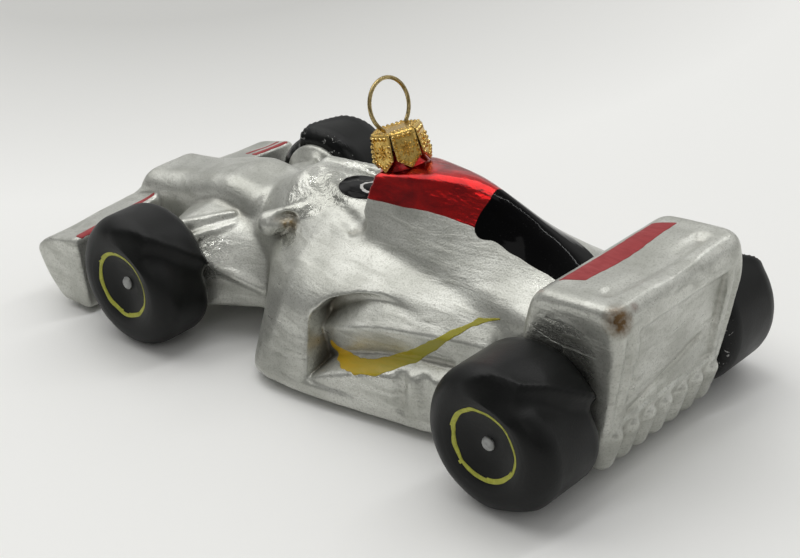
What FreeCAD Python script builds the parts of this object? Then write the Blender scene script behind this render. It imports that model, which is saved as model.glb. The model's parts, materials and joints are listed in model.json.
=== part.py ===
import FreeCAD
import Part
import Sketcher
import math
import os

# A hanging ornament of blown glass in the form of an open wheel racing car.
# The car faces -Y, its left side is +X and +Z is up. The origin lies on the
# ground under the middle of the whole ornament. All sizes are millimetres.

SIZES = {
    # wheels, axles and hubs
    "rear_axle_y": 53.4,
    "wheelbase": 90.9,
    "tyre_radius": 13.5,
    "tyre_shoulder": 3.6,
    "rear_tyre_inner": 17.7,
    "rear_tyre_width": 17.1,
    "front_tyre_inner": 20.9,
    "front_tyre_width": 13.5,
    "ring_radius": 6.5,
    "face_fall": 0.7,
    "hub_dish": 2.0,
    "dish_floor_radius": 2.4,
    "hub_radius": 1.25,
    "hub_tip_radius": 0.75,
    "hub_height": 0.7,
    # uprights, the domes behind the front wheels
    "upright_radius": 9.0,
    "upright_waist_radius": 7.2,
    "upright_tip_radius": 4.2,
    "upright_waist_depth": 2.4,
    "upright_depth": 4.0,
    # tub, the core that carries every other form
    "tub_setback": 4.5,
    "tub_tail": 1.6,
    "tub_front_half": 8.0,
    "tub_half": 12.0,
    "tub_top": 24.0,
    "tub_front_top": 19.0,
    "tub_bottom": 3.0,
    "tub_edge_radius": 2.0,
    # front wing
    "front_wing_half": 30.4,
    "front_wing_gap": 3.2,
    "front_wing_length": 15.1,
    "front_wing_bottom": 1.2,
    "front_wing_chin": 3.0,
    "front_wing_lip": 12.6,
    "front_wing_crest": 18.4,
    "front_wing_crest_back": 3.3,
    "front_wing_root_half": 6.0,
    "front_wing_droop": 1.5,
    "front_wing_edge_radius": 1.7,
    # nose
    "nose_lead": 0.2,
    "nose_blunt_run": 7.0,
    "nose_swell_run": 10.5,
    "nose_tail": 12.0,
    "nose_tip_half": 4.6,
    "nose_blunt_half": 8.0,
    "nose_mid_half": 9.6,
    "nose_rear_half": 10.5,
    "nose_tip_top": 14.6,
    "nose_blunt_top": 20.0,
    "nose_mid_top": 24.0,
    "nose_rear_top": 27.0,
    "nose_tip_bottom": 8.5,
    "nose_blunt_bottom": 7.0,
    "nose_bottom": 4.0,
    "nose_crown": 5.0,
    "nose_tip_crown": 3.2,
    "nose_foot": 2.0,
    # cowl and cockpit
    "cowl_lap": 3.0,
    "cowl_tail": 1.7,
    "cowl_ridge_ahead": 21.8,
    "cowl_saddle_ahead": 14.3,
    "cowl_front_half": 7.0,
    "cowl_ridge_half": 9.0,
    "cowl_saddle_half": 10.0,
    "cowl_front_top": 24.0,
    "cowl_ridge_top": 31.8,
    "cowl_saddle_top": 31.4,
    "cowl_rear_top": 31.0,
    "cowl_bottom": 16.0,
    "cowl_crown": 3.5,
    "bowl_ahead": 7.8,
    "bowl_lift": 4.2,
    "bowl_half_width": 8.5,
    "bowl_half_length": 11.0,
    "bowl_half_height": 5.0,
    "pit_ahead": 7.3,
    "pit_sink": 0.3,
    "pit_half_width": 4.9,
    "pit_half_length": 6.2,
    "pit_half_height": 1.5,
    # engine cover, from the air intake back to the rear wing
    "cover_ahead": 49.1,
    "cover_lap": 2.6,
    "cover_front_top": 38.2,
    "cover_shelf_rise": 1.1,
    "cover_climb_rise": 1.9,
    "cover_peak_rise": 2.2,
    "cover_fall_rise": 0.8,
    "cover_low_drop": 4.0,
    "cover_rear_drop": 10.2,
    "cover_front_crest": 5.6,
    "cover_shelf_crest": 5.0,
    "cover_climb_crest": 4.2,
    "cover_peak_crest": 2.9,
    "cover_fall_crest": 1.8,
    "cover_low_crest": 1.8,
    "cover_rear_crest": 2.2,
    "cover_front_tuck": 0.6,
    "cover_peak_overhang": 1.4,
    "cover_rear_overhang": 2.6,
    "cover_front_foot": 26.6,
    "cover_rear_foot": 25.4,
    "cover_root": 20.0,
    "cover_crown": 2.2,
    "cover_foot_edge_radius": 1.6,
    "paint_front_z": 33.9,
    "paint_rear_z": 35.4,
    "spine_run": 26.0,
    "spine_side": 3.4,
    "spine_tail_side": 0.6,
    "spine_lobe_radius": 2.2,
    "spine_lobe_lift": 0.2,
    # side pods
    "pod_front_gap": 6.0,
    "pod_tail_gap": 7.4,
    "pod_front_side": 14.5,
    "pod_corner_side": 26.2,
    "pod_wide_side": 29.4,
    "pod_mid_side": 27.6,
    "pod_tuck_side": 23.4,
    "pod_rear_side": 18.5,
    "pod_shoulder_half_front": 14.0,
    "pod_shoulder_half_corner": 22.0,
    "pod_shoulder_half": 24.6,
    "pod_shoulder_half_mid": 21.5,
    "pod_shoulder_half_tuck": 18.4,
    "pod_shoulder_half_rear": 15.0,
    "pod_shoulder_front": 20.6,
    "pod_shoulder_corner": 19.8,
    "pod_shoulder": 19.0,
    "pod_shoulder_mid": 21.5,
    "pod_shoulder_tuck": 22.6,
    "pod_shoulder_rear": 23.0,
    "pod_root_front": 22.4,
    "pod_root_corner": 26.4,
    "pod_root": 29.4,
    "pod_root_tuck": 28.8,
    "pod_root_rear": 27.4,
    "pod_inner": 8.0,
    "pod_bottom": 1.6,
    "pod_edge_radius": 2.2,
    "duct_back": 22.6,
    "duct_length": 24.4,
    "duct_floor_z": 6.4,
    "duct_roof_z": 22.8,
    "duct_depth_x": 19.5,
    "duct_roof_edge_radius": 7.5,
    "duct_foot_edge_radius": 1.5,
    "bulge_x": 18.6,
    "bulge_z": 15.6,
    "bulge_back": 39.0,
    "bulge_half_length": 12.0,
    "bulge_half_width": 5.2,
    "bulge_half_height": 6.0,
    "louvre_radius": 2.3,
    "louvre_tip_radius": 0.9,
    "louvre_height": 9.0,
    "louvre_back": 42.2,
    "louvre_pitch": 4.4,
    "louvre_x": 24.4,
    "louvre_step": 1.2,
    "louvre_z": 3.2,
    "louvre_count": 3,
    # rear wing and diffuser
    "rear_wing_ahead": 3.0,
    "rear_wing_top_length": 19.0,
    "rear_wing_foot_length": 14.2,
    "rear_wing_top_half": 18.3,
    "rear_wing_foot_half": 16.6,
    "rear_wing_top": 35.4,
    "rear_wing_foot": 5.4,
    "rear_wing_edge_radius": 2.6,
    "panel_side": 4.4,
    "panel_head": 5.9,
    "panel_sill": 5.6,
    "panel_depth": 0.9,
    "groove_ahead": 8.0,
    "groove_side": 3.7,
    "groove_radius": 1.7,
    "groove_sink": 1.0,
    "rib_count": 7,
    "rib_pitch": 4.7,
    "rib_radius": 2.3,
    "rib_tip_radius": 1.4,
    "rib_length": 7.3,
    "rib_setback": 0.3,
    "rib_lift": 0.8,
    # front suspension
    "arm_root_half": 7.5,
    "plate_root_half_length": 10.5,
    "plate_tip_half_length": 5.0,
    "plate_tail_half": 14.4,
    "plate_tail_ahead": 10.0,
    "plate_bottom": 4.8,
    "plate_top": 11.6,
    "web_root_half_length": 6.5,
    "web_tip_half_length": 3.5,
    "web_top": 18.0,
    "arm_radius": 1.9,
    "arm_front_ahead": 4.0,
    "arm_rear_behind": 2.0,
    "arm_root_z": 18.6,
    "arm_tip_z": 21.0,
    # mirrors
    "mirror_ahead": 18.8,
    "mirror_z": 26.2,
    "mirror_inner": 8.0,
    "mirror_length": 8.0,
    "mirror_radius": 2.3,
    "mirror_root_radius": 1.6,
    "mirror_tip_radius": 1.0,
    "mirror_edge_radius": 1.3,
    "mirror_fall": 12.0,
    # neck, crown cap and wire hanger
    "crown_back": 1.0,
    "crown_rise": 7.1,
    "crown_lean": 16.0,
    "neck_radius": 3.95,
    "neck_wall": 0.4,
    "neck_depth": 13.0,
    "neck_floor": 1.0,
    "neck_gap": 0.2,
    "cap_sheet": 0.3,
    "cap_gap": 0.15,
    "cap_rim_width": 0.45,
    "cap_rim_height": 0.12,
    "petal_count": 6,
    "petal_width": 4.7,
    "petal_straight": 4.6,
    "petal_point": 1.9,
    "petal_flare": 7.0,
    "wire_radius": 0.38,
    "wire_gap": 0.17,
    "wire_foot_gap": 1.0,
    "loop_radius": 4.95,
    "loop_bend": 0.5,
    "loop_start": 0.25,
}

# Places along the car that follow from the sizes. The front wing and the side
# pods keep clear of the wheels, and the nose ends where the front wing does.
FRONT_AXLE = "(Sizes.rear_axle_y - Sizes.wheelbase)"
TUB_FRONT = "(%s + Sizes.tub_setback)" % FRONT_AXLE
TUB_REAR = "(Sizes.rear_axle_y + Sizes.tub_tail)"
FRONT_WING_REAR = "(%s - Sizes.tyre_radius - Sizes.front_wing_gap)" % FRONT_AXLE
FRONT_WING_FRONT = "(%s - Sizes.front_wing_length)" % FRONT_WING_REAR
NOSE_TIP = "(%s - Sizes.nose_lead)" % FRONT_WING_FRONT
NOSE_BLUNT = "(%s + Sizes.nose_blunt_run)" % NOSE_TIP
NOSE_MID = "(%s + Sizes.nose_swell_run)" % NOSE_BLUNT
NOSE_REAR = "(%s + Sizes.nose_tail)" % FRONT_AXLE
COWL_FRONT = "(%s - Sizes.cowl_lap)" % NOSE_REAR
COVER_FRONT = "(Sizes.rear_axle_y - Sizes.cover_ahead)"
COWL_REAR = "(%s + Sizes.cowl_tail)" % COVER_FRONT
POD_FRONT = "(%s + Sizes.tyre_radius + Sizes.pod_front_gap)" % FRONT_AXLE
POD_REAR = "(Sizes.rear_axle_y - Sizes.pod_tail_gap)"
REAR_WING_FRONT = "(Sizes.rear_axle_y - Sizes.rear_wing_ahead)"
REAR_WING_FOOT_REAR = "(%s + Sizes.rear_wing_foot_length)" % REAR_WING_FRONT
REAR_WING_TOP_REAR = "(%s + Sizes.rear_wing_top_length)" % REAR_WING_FRONT
COVER_REAR = "(%s + Sizes.cover_lap)" % REAR_WING_FRONT
COVER_FRONT_HALF = "(Sizes.tub_half - Sizes.cover_front_tuck)"
COVER_PEAK_HALF = "(Sizes.tub_half + Sizes.cover_peak_overhang)"
COVER_REAR_HALF = "(Sizes.tub_half + Sizes.cover_rear_overhang)"
SPINE_FRONT = "(%s + Sizes.spine_run)" % COVER_FRONT
CROWN_Y = "(%s + Sizes.crown_back)" % COVER_FRONT
CROWN_Z = "(Sizes.cover_front_top + Sizes.crown_rise)"
LEG_HALF = "(Sizes.neck_radius - Sizes.neck_wall - Sizes.wire_gap - Sizes.wire_radius)"
LEG_LENGTH = "(Sizes.neck_depth - Sizes.neck_floor - Sizes.wire_foot_gap)"

# Stations between a form's two ends, as shares of its own length.
COVER_SHARES = {"shelf": 0.146, "climb": 0.24, "peak": 0.363, "fall": 0.538, "low": 0.754}
POD_SHARES = {"corner": 0.125, "wide": 0.266, "mid": 0.5, "tuck": 0.74}

doc = FreeCAD.newDocument("glass_racing_car")
sheet = doc.addObject("Spreadsheet::Sheet", "Sizes")

for row, (alias, number) in enumerate(SIZES.items(), 1):
    sheet.set("A%d" % row, alias)
    sheet.set("B%d" % row, str(number))
    sheet.setAlias("B%d" % row, alias)
doc.recompute()

SUB_PARTS = []


def value(text):
    """Number that an expression over the sheet's aliases gives."""
    result = sheet.evalExpression(text)
    return float(getattr(result, "Value", result))


def size(alias):
    """Expression for one size of the sheet."""
    return "Sizes." + alias


def keep(obj, name):
    """Mark an object as a sub-part that is written out under its label."""
    obj.Label = name
    SUB_PARTS.append(obj)
    return obj


def new_body(name):
    return doc.addObject("PartDesign::Body", name)


def between(first, last, share):
    """Expression for the place at a share of the way from first to last."""
    return "(%s + (%s - %s) * %s)" % (first, last, first, share)


def place(obj, x="0", y="0", z="0"):
    """Bind the position of an object to expressions."""
    obj.setExpression(".Placement.Base.x", x)
    obj.setExpression(".Placement.Base.y", y)
    obj.setExpression(".Placement.Base.z", z)


def new_sketch(body, name, role, offset="0"):
    """Sketch on one of the body's own origin planes, moved along its normal."""
    sketch = body.newObject("Sketcher::SketchObject", name)
    plane = [f for f in body.Origin.OriginFeatures if f.Role == role][0]
    sketch.AttachmentSupport = [(plane, "")]
    sketch.MapMode = "FlatFace"
    sketch.setExpression(".AttachmentOffset.Base.z", offset)
    return sketch


def pin(sketch, index, point, across, up):
    """Fix one point of a sketch element by expressions from the origin."""
    for kind, text, axis in (("DistanceX", across, -2), ("DistanceY", up, -1)):
        number = value(text)
        if abs(number) < 1e-9:
            sketch.addConstraint(Sketcher.Constraint("PointOnObject", index, point, axis))
        else:
            mark = sketch.addConstraint(Sketcher.Constraint(kind, -1, 1, index, point, number))
            sketch.setExpression("Constraints[%d]" % mark, text)


def polygon_sketch(body, name, role, points, offset="0", inner=()):
    """Closed outline of straight edges whose corners are expressions, with an optional hole."""
    sketch = new_sketch(body, name, role, offset)
    first = 0
    for outline in (points, inner):
        spots = [FreeCAD.Vector(value(a), value(b), 0) for a, b in outline]
        count = len(spots)
        for i in range(count):
            sketch.addGeometry(Part.LineSegment(spots[i], spots[(i + 1) % count]), False)
        for i in range(count):
            following = first + (i + 1) % count
            sketch.addConstraint(Sketcher.Constraint("Coincident", first + i, 2, following, 1))
        for i, (across, up) in enumerate(outline):
            pin(sketch, first + i, 1, across, up)
        first += count
    return sketch


def circle_sketch(body, name, role, centre, radius, offset="0"):
    """One circle, its centre and radius given by expressions."""
    sketch = new_sketch(body, name, role, offset)
    middle = FreeCAD.Vector(value(centre[0]), value(centre[1]), 0)
    circle = Part.Circle(middle, FreeCAD.Vector(0, 0, 1), value(radius))
    sketch.addGeometry(circle, False)
    pin(sketch, 0, 3, centre[0], centre[1])
    mark = sketch.addConstraint(Sketcher.Constraint("Radius", 0, value(radius)))
    sketch.setExpression("Constraints[%d]" % mark, radius)
    return sketch


def rounded_sketch(body, name, role, corners, offset="0"):
    """Outline wrapped round corner circles, listed anticlockwise as (across, up, radius)."""
    sketch = new_sketch(body, name, role, offset)
    centres = [FreeCAD.Vector(value(a), value(b), 0) for a, b, _ in corners]
    radii = [value(r) for _, _, r in corners]
    count = len(corners)
    leaving = []
    arriving = [None] * count
    for i in range(count):
        following = (i + 1) % count
        run = centres[following] - centres[i]
        along = FreeCAD.Vector(run).normalize()
        outward = FreeCAD.Vector(along.y, -along.x, 0)
        lean = math.asin((radii[i] - radii[following]) / run.Length)
        normal = outward * math.cos(lean) + along * math.sin(lean)
        leaving.append(centres[i] + normal * radii[i])
        arriving[following] = centres[following] + normal * radii[following]
    for i in range(count):
        start = math.atan2(arriving[i].y - centres[i].y, arriving[i].x - centres[i].x)
        end = math.atan2(leaving[i].y - centres[i].y, leaving[i].x - centres[i].x)
        if end < start:
            end += 2 * math.pi
        circle = Part.Circle(centres[i], FreeCAD.Vector(0, 0, 1), radii[i])
        sketch.addGeometry(Part.ArcOfCircle(circle, start, end), False)
        sketch.addGeometry(Part.LineSegment(leaving[i], arriving[(i + 1) % count]), False)
    for i in range(count):
        arc = 2 * i
        line = arc + 1
        next_arc = (2 * i + 2) % (2 * count)
        sketch.addConstraint(Sketcher.Constraint("Tangent", arc, 2, line, 1))
        sketch.addConstraint(Sketcher.Constraint("Tangent", line, 2, next_arc, 1))
    for i, (across, up, radius) in enumerate(corners):
        pin(sketch, 2 * i, 3, across, up)
        mark = sketch.addConstraint(Sketcher.Constraint("Radius", 2 * i, value(radius)))
        sketch.setExpression("Constraints[%d]" % mark, radius)
    return sketch


def loft(body, name, sketches, straight=False):
    """Skin a solid over the sketches, in order."""
    feature = body.newObject("PartDesign::AdditiveLoft", name)
    feature.Profile = sketches[0]
    feature.Sections = sketches[1:]
    feature.Ruled = straight
    for sketch in sketches:
        sketch.Visibility = False
    return feature


def pad(body, name, sketch, length, symmetric=False, reverse=False):
    feature = body.newObject("PartDesign::Pad", name)
    feature.Profile = sketch
    feature.setExpression("Length", length)
    if symmetric:
        feature.SideType = "Symmetric"
    feature.Reversed = reverse
    return feature


def fillet(body, name, base, chosen, radius):
    """Round the edges of the base that the test picks."""
    doc.recompute()
    names = []
    for number, edge in enumerate(base.Shape.Edges, 1):
        if chosen(edge):
            names.append("Edge%d" % number)
    feature = body.newObject("PartDesign::Fillet", name)
    feature.Base = (base, names)
    feature.setExpression("Radius", radius)
    return feature


def cut(name, base, tools):
    """Take each tool away from the base in turn."""
    result = base
    for number, tool in enumerate(tools, 1):
        step = doc.addObject("Part::Cut", "%s_cut_%d" % (name, number))
        step.Base = result
        step.Tool = tool
        step.Refine = False
        result = step
    return result


def common(name, base, tool):
    step = doc.addObject("Part::Common", name)
    step.Base = base
    step.Tool = tool
    step.Refine = False
    return step


def fuse(name, base, tool):
    step = doc.addObject("Part::Fuse", name)
    step.Base = base
    step.Tool = tool
    step.Refine = False
    return step


def ellipsoid(name, half_x, half_y, half_z, x, y, z):
    """Ellipsoid with its three half axes and its centre given by expressions."""
    form = doc.addObject("Part::Ellipsoid", name)
    form.setExpression("Radius2", half_x)
    form.setExpression("Radius3", half_y)
    form.setExpression("Radius1", half_z)
    place(form, x, y, z)
    return form


def mirrored(name, source):
    """The same form on the other side of the car."""
    form = doc.addObject("Part::Mirroring", name)
    form.Source = source
    form.Normal = FreeCAD.Vector(1, 0, 0)
    return form


def section(body, name, station, corners):
    """Rounded outline across the car at a station along its length."""
    return rounded_sketch(body, name, "XZ_Plane", corners, "-(%s)" % station)


END_ANGLES = (80, 50, 25)


def end_round(outward, edge, radius):
    """Stations of a rounded end, outermost first, as (station, share of the corner radius)."""
    stations = []
    for angle in END_ANGLES:
        back = 1 - math.sin(math.radians(angle))
        share = math.cos(math.radians(angle))
        stations.append(("%s - (%d) * (%s) * %.5f" % (edge, outward, radius, back), share))
    return stations


def shrink(corners, share):
    """The same corner circles with a share of their radius."""
    return [(a, b, "(%s) * %.5f" % (r, share)) for a, b, r in corners]


def both_sides(corners):
    """Complete a right hand list of corners, bottom to top, with its mirror image."""
    left = [("-(%s)" % a, b, r) for a, b, r in reversed(corners)]
    return corners + left


# Wheels: one profile turned about the axle, with a rounded shoulder at both
# edges of the tread, a face that falls to the painted ring, a shallow dish
# and a hub button in it.
def wheel(name, side, inner, width, axle_y):
    body = new_body(name)
    outline = [
        ("0", "0"),
        ("0", size("tyre_radius")),
        (width, size("tyre_radius")),
        (width, size("ring_radius") + " + Sizes.face_fall"),
        ("%s - Sizes.face_fall" % width, size("ring_radius")),
        ("%s - Sizes.hub_dish" % width, size("dish_floor_radius")),
        ("%s - Sizes.hub_dish" % width, size("hub_radius")),
        ("%s - Sizes.hub_dish + Sizes.hub_height" % width, size("hub_tip_radius")),
        ("%s - Sizes.hub_dish + Sizes.hub_height" % width, "0"),
    ]
    sketch = polygon_sketch(body, name + "_profile", "XZ_Plane", outline)
    turned = body.newObject("PartDesign::Revolution", name + "_turned")
    turned.Profile = sketch
    turned.ReferenceAxis = (sketch, ["H_Axis"])
    turned.Angle = 360
    radius = value(size("tyre_radius"))

    def at_tread(edge):
        curve = edge.Curve
        return isinstance(curve, Part.Circle) and abs(curve.Radius - radius) < 1e-6

    fillet(body, name + "_shoulders", turned, at_tread, size("tyre_shoulder"))
    if side > 0:
        place(body, inner, axle_y, size("tyre_radius"))
    else:
        body.Placement.Rotation = FreeCAD.Rotation(FreeCAD.Vector(0, 0, 1), 180)
        place(body, "-(%s)" % inner, axle_y, size("tyre_radius"))
    return keep(body, name)


tyre_front_left = wheel("tyre_front_left", 1, size("front_tyre_inner"),
                        size("front_tyre_width"), FRONT_AXLE)
tyre_front_right = wheel("tyre_front_right", -1, size("front_tyre_inner"),
                         size("front_tyre_width"), FRONT_AXLE)
tyre_rear_left = wheel("tyre_rear_left", 1, size("rear_tyre_inner"),
                       size("rear_tyre_width"), size("rear_axle_y"))
tyre_rear_right = wheel("tyre_rear_right", -1, size("rear_tyre_inner"),
                        size("rear_tyre_width"), size("rear_axle_y"))

# Neck: a glass cup that leans forward and is let into the engine cover.
neck = new_body("neck")
neck_outline = [
    ("0", "-Sizes.neck_depth"),
    (size("neck_radius"), "-Sizes.neck_depth"),
    (size("neck_radius"), "-Sizes.cap_sheet - Sizes.neck_gap"),
    ("Sizes.neck_radius - Sizes.neck_wall", "-Sizes.cap_sheet - Sizes.neck_gap"),
    ("Sizes.neck_radius - Sizes.neck_wall", "-Sizes.neck_depth + Sizes.neck_floor"),
    ("0", "-Sizes.neck_depth + Sizes.neck_floor"),
]
neck_profile = polygon_sketch(neck, "neck_profile", "XZ_Plane", neck_outline)
neck_turned = neck.newObject("PartDesign::Revolution", "neck_turned")
neck_turned.Profile = neck_profile
neck_turned.ReferenceAxis = (neck_profile, ["V_Axis"])
neck_turned.Angle = 360


def on_crown(obj, level="0"):
    """Stand an object on the leaning axis, at a level measured from the top of the cap."""
    obj.Placement.Rotation = FreeCAD.Rotation(FreeCAD.Vector(1, 0, 0), value(size("crown_lean")))
    place(obj, "0", "%s - (%s) * sin(Sizes.crown_lean * 1deg)" % (CROWN_Y, level),
          "%s + (%s) * cos(Sizes.crown_lean * 1deg)" % (CROWN_Z, level))
    obj.setExpression(".Placement.Rotation.Angle", size("crown_lean"))


on_crown(neck)
keep(neck, "neck")

neck_socket = doc.addObject("Part::Cylinder", "neck_socket")
neck_socket.setExpression("Radius", size("neck_radius"))
neck_socket.setExpression("Height", size("neck_depth"))
on_crown(neck_socket, "-Sizes.neck_depth")

# Tub: the core between the wheels.
tub_body = new_body("tub_form")


def tub_corners(half, top):
    return both_sides([
        ("%s - Sizes.tub_edge_radius" % half, "Sizes.tub_bottom + Sizes.tub_edge_radius",
         size("tub_edge_radius")),
        ("%s - Sizes.tub_edge_radius" % half, "%s - Sizes.tub_edge_radius" % top,
         size("tub_edge_radius")),
    ])


tub_sections = [
    section(tub_body, "tub_front", TUB_FRONT,
            tub_corners(size("tub_front_half"), size("tub_front_top"))),
    section(tub_body, "tub_mid", POD_FRONT,
            tub_corners(size("tub_half"), size("tub_top"))),
    section(tub_body, "tub_rear", TUB_REAR,
            tub_corners(size("tub_half"), size("tub_top"))),
]
loft(tub_body, "tub_loft", tub_sections, straight=True)

# Front wing: a thick block whose top climbs rearwards from the lip to a crest.
front_wing_body = new_body("front_wing_form")


def front_wing_corners(droop):
    spots = [
        (FRONT_WING_FRONT + " + Sizes.front_wing_chin", "Sizes.front_wing_bottom", 1, 1),
        (FRONT_WING_REAR, "Sizes.front_wing_bottom", -1, 1),
        (FRONT_WING_REAR + " - Sizes.front_wing_crest_back",
         "Sizes.front_wing_crest - (%s)" % droop, -1, -1),
        (FRONT_WING_FRONT, "Sizes.front_wing_lip - (%s)" % droop, 1, -1),
    ]
    corners = []
    for across, up, inward, rising in spots:
        corners.append((
            "%s + (%d) * Sizes.front_wing_edge_radius" % (across, inward),
            "%s + (%d) * Sizes.front_wing_edge_radius" % (up, rising),
            size("front_wing_edge_radius")))
    return corners


def front_wing_half(name, side):
    """Stations of one half of the wing, from its rounded end to the root."""
    tip = front_wing_corners(size("front_wing_droop"))
    edge = "(%d) * Sizes.front_wing_half" % side
    stations = end_round(side, edge, size("front_wing_edge_radius"))
    stations.append(("%s - (%d) * Sizes.front_wing_edge_radius" % (edge, side), 1))
    sketches = []
    for number, (x, share) in enumerate(stations, 1):
        sketches.append(rounded_sketch(front_wing_body, "%s_%d" % (name, number), "YZ_Plane",
                                       shrink(tip, share), x))
    root_x = "(%d) * Sizes.front_wing_root_half" % side
    sketches.append(rounded_sketch(front_wing_body, name + "_root", "YZ_Plane",
                                   front_wing_corners("0"), root_x))
    return sketches


front_wing_right = front_wing_half("front_wing_right", -1)
front_wing_left = front_wing_half("front_wing_left", 1)
loft(front_wing_body, "front_wing_loft", front_wing_right + front_wing_left[::-1], straight=True)

# Nose: a broad crowned bulge that climbs from its blunt tip to the cowl.
nose_body = new_body("nose_form")


def nose_corners(half, top, bottom, crown):
    return both_sides([
        ("%s - Sizes.nose_foot" % half, "%s + Sizes.nose_foot" % bottom, size("nose_foot")),
        ("%s - %s" % (half, crown), "%s - %s" % (top, crown), crown),
    ])


nose_tip_corners = nose_corners(size("nose_tip_half"), size("nose_tip_top"),
                                size("nose_tip_bottom"), size("nose_tip_crown"))
nose_sections = []
for number, (y, share) in enumerate(end_round(-1, NOSE_TIP, size("nose_tip_crown")), 1):
    nose_sections.append(section(nose_body, "nose_end_%d" % number, y,
                                 shrink(nose_tip_corners, share)))
nose_sections += [
    section(nose_body, "nose_blunt", NOSE_BLUNT,
            nose_corners(size("nose_blunt_half"), size("nose_blunt_top"),
                         size("nose_blunt_bottom"), size("nose_crown"))),
    section(nose_body, "nose_mid", NOSE_MID,
            nose_corners(size("nose_mid_half"), size("nose_mid_top"), size("nose_bottom"),
                         size("nose_crown"))),
    section(nose_body, "nose_rear", NOSE_REAR,
            nose_corners(size("nose_rear_half"), size("nose_rear_top"), size("nose_bottom"),
                         size("nose_crown"))),
]
loft(nose_body, "nose_loft", nose_sections, straight=True)
nose = cut("nose", nose_body, [tub_body])
keep(nose, "nose")
front_wing = cut("front_wing", front_wing_body, [nose_body])
keep(front_wing, "front_wing")

# Cowl: the hump round the cockpit, hollowed by a shallow bowl with a darker
# pit at its lowest place.
cowl_body = new_body("cowl_form")


def cowl_corners(half, top):
    return both_sides([
        ("%s - Sizes.tub_edge_radius" % half, "Sizes.cowl_bottom + Sizes.tub_edge_radius",
         size("tub_edge_radius")),
        ("%s - Sizes.cowl_crown" % half, "%s - Sizes.cowl_crown" % top, size("cowl_crown")),
    ])


cowl_sections = [
    section(cowl_body, "cowl_front", COWL_FRONT,
            cowl_corners(size("cowl_front_half"), size("cowl_front_top"))),
    section(cowl_body, "cowl_ridge", COVER_FRONT + " - Sizes.cowl_ridge_ahead",
            cowl_corners(size("cowl_ridge_half"), size("cowl_ridge_top"))),
    section(cowl_body, "cowl_saddle", COVER_FRONT + " - Sizes.cowl_saddle_ahead",
            cowl_corners(size("cowl_saddle_half"), size("cowl_saddle_top"))),
    section(cowl_body, "cowl_rear", COWL_REAR,
            cowl_corners(size("cowl_saddle_half"), size("cowl_rear_top"))),
]
loft(cowl_body, "cowl_loft", cowl_sections)
bowl = ellipsoid("bowl", size("bowl_half_width"), size("bowl_half_length"),
                 size("bowl_half_height"), "0", COVER_FRONT + " - Sizes.bowl_ahead",
                 "Sizes.cowl_saddle_top + Sizes.bowl_lift")
pit = ellipsoid("pit", size("pit_half_width"), size("pit_half_length"),
                size("pit_half_height"), "0", COVER_FRONT + " - Sizes.pit_ahead",
                "Sizes.cowl_saddle_top - Sizes.pit_sink")

# Engine cover: one loft from the intake to the rear wing. Two painted zones
# are parted from its upper half, the silver flanks are what is left.
cover_body = new_body("cover_form")


def cover_corners(crest, top, foot_half, foot):
    return both_sides([
        ("%s - Sizes.cover_foot_edge_radius" % foot_half, "Sizes.cover_root",
         size("cover_foot_edge_radius")),
        ("%s - Sizes.cover_foot_edge_radius" % foot_half, foot,
         size("cover_foot_edge_radius")),
        ("%s - Sizes.cover_crown * 0.5" % crest, "%s - Sizes.cover_crown" % top,
         size("cover_crown")),
    ])


COVER_STATIONS = [
    ("front", "cover_front_crest", "0", COVER_FRONT_HALF, "cover_front_foot"),
    ("shelf", "cover_shelf_crest", "Sizes.cover_shelf_rise", COVER_FRONT_HALF,
     "cover_front_foot"),
    ("climb", "cover_climb_crest", "Sizes.cover_climb_rise", COVER_FRONT_HALF,
     "cover_front_foot"),
    ("peak", "cover_peak_crest", "Sizes.cover_peak_rise", COVER_PEAK_HALF, "cover_front_foot"),
    ("fall", "cover_fall_crest", "Sizes.cover_fall_rise", COVER_PEAK_HALF, "cover_rear_foot"),
    ("low", "cover_low_crest", "-Sizes.cover_low_drop", COVER_REAR_HALF, "cover_rear_foot"),
    ("rear", "cover_rear_crest", "-Sizes.cover_rear_drop", COVER_REAR_HALF, "cover_rear_foot"),
]
COVER_PLACES = {"front": COVER_FRONT, "rear": COVER_REAR}
for station, share in COVER_SHARES.items():
    COVER_PLACES[station] = between(COVER_FRONT, COVER_REAR, share)

cover_sections = []
for station, crest, rise, foot_half, foot in COVER_STATIONS:
    corners = cover_corners(size(crest), "(Sizes.cover_front_top + (%s))" % rise,
                            foot_half, size(foot))
    cover_sections.append(section(cover_body, "cover_" + station, COVER_PLACES[station], corners))
loft(cover_body, "cover_loft", cover_sections)


def paint_zone(name, outline):
    """Slab across the whole car whose side outline bounds a painted zone."""
    body = new_body(name)
    sketch = polygon_sketch(body, name + "_outline", "YZ_Plane", outline)
    pad(body, name + "_slab", sketch, COVER_REAR_HALF + " * 3", symmetric=True)
    return body


cover_peak_top = "(Sizes.cover_front_top + Sizes.cover_peak_rise)"
zone_top = cover_peak_top + " + Sizes.cover_crown"
red_slab = paint_zone("red_zone", [
    (COVER_FRONT + " - Sizes.cover_crown", "Sizes.paint_front_z"),
    (COVER_FRONT, "Sizes.paint_front_z"),
    (SPINE_FRONT, "Sizes.paint_rear_z"),
    (SPINE_FRONT, zone_top),
    (COVER_FRONT + " - Sizes.cover_crown", zone_top),
])
black_slab = paint_zone("black_zone", [
    (SPINE_FRONT, "Sizes.paint_rear_z - Sizes.spine_lobe_radius"),
    (COVER_PLACES["low"], "Sizes.cover_front_top - Sizes.cover_low_drop - Sizes.spine_side"),
    (COVER_REAR + " + Sizes.cover_crown",
     "Sizes.cover_front_top - Sizes.cover_rear_drop - Sizes.spine_tail_side"),
    (COVER_REAR + " + Sizes.cover_crown", zone_top),
    (SPINE_FRONT, zone_top),
])

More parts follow.
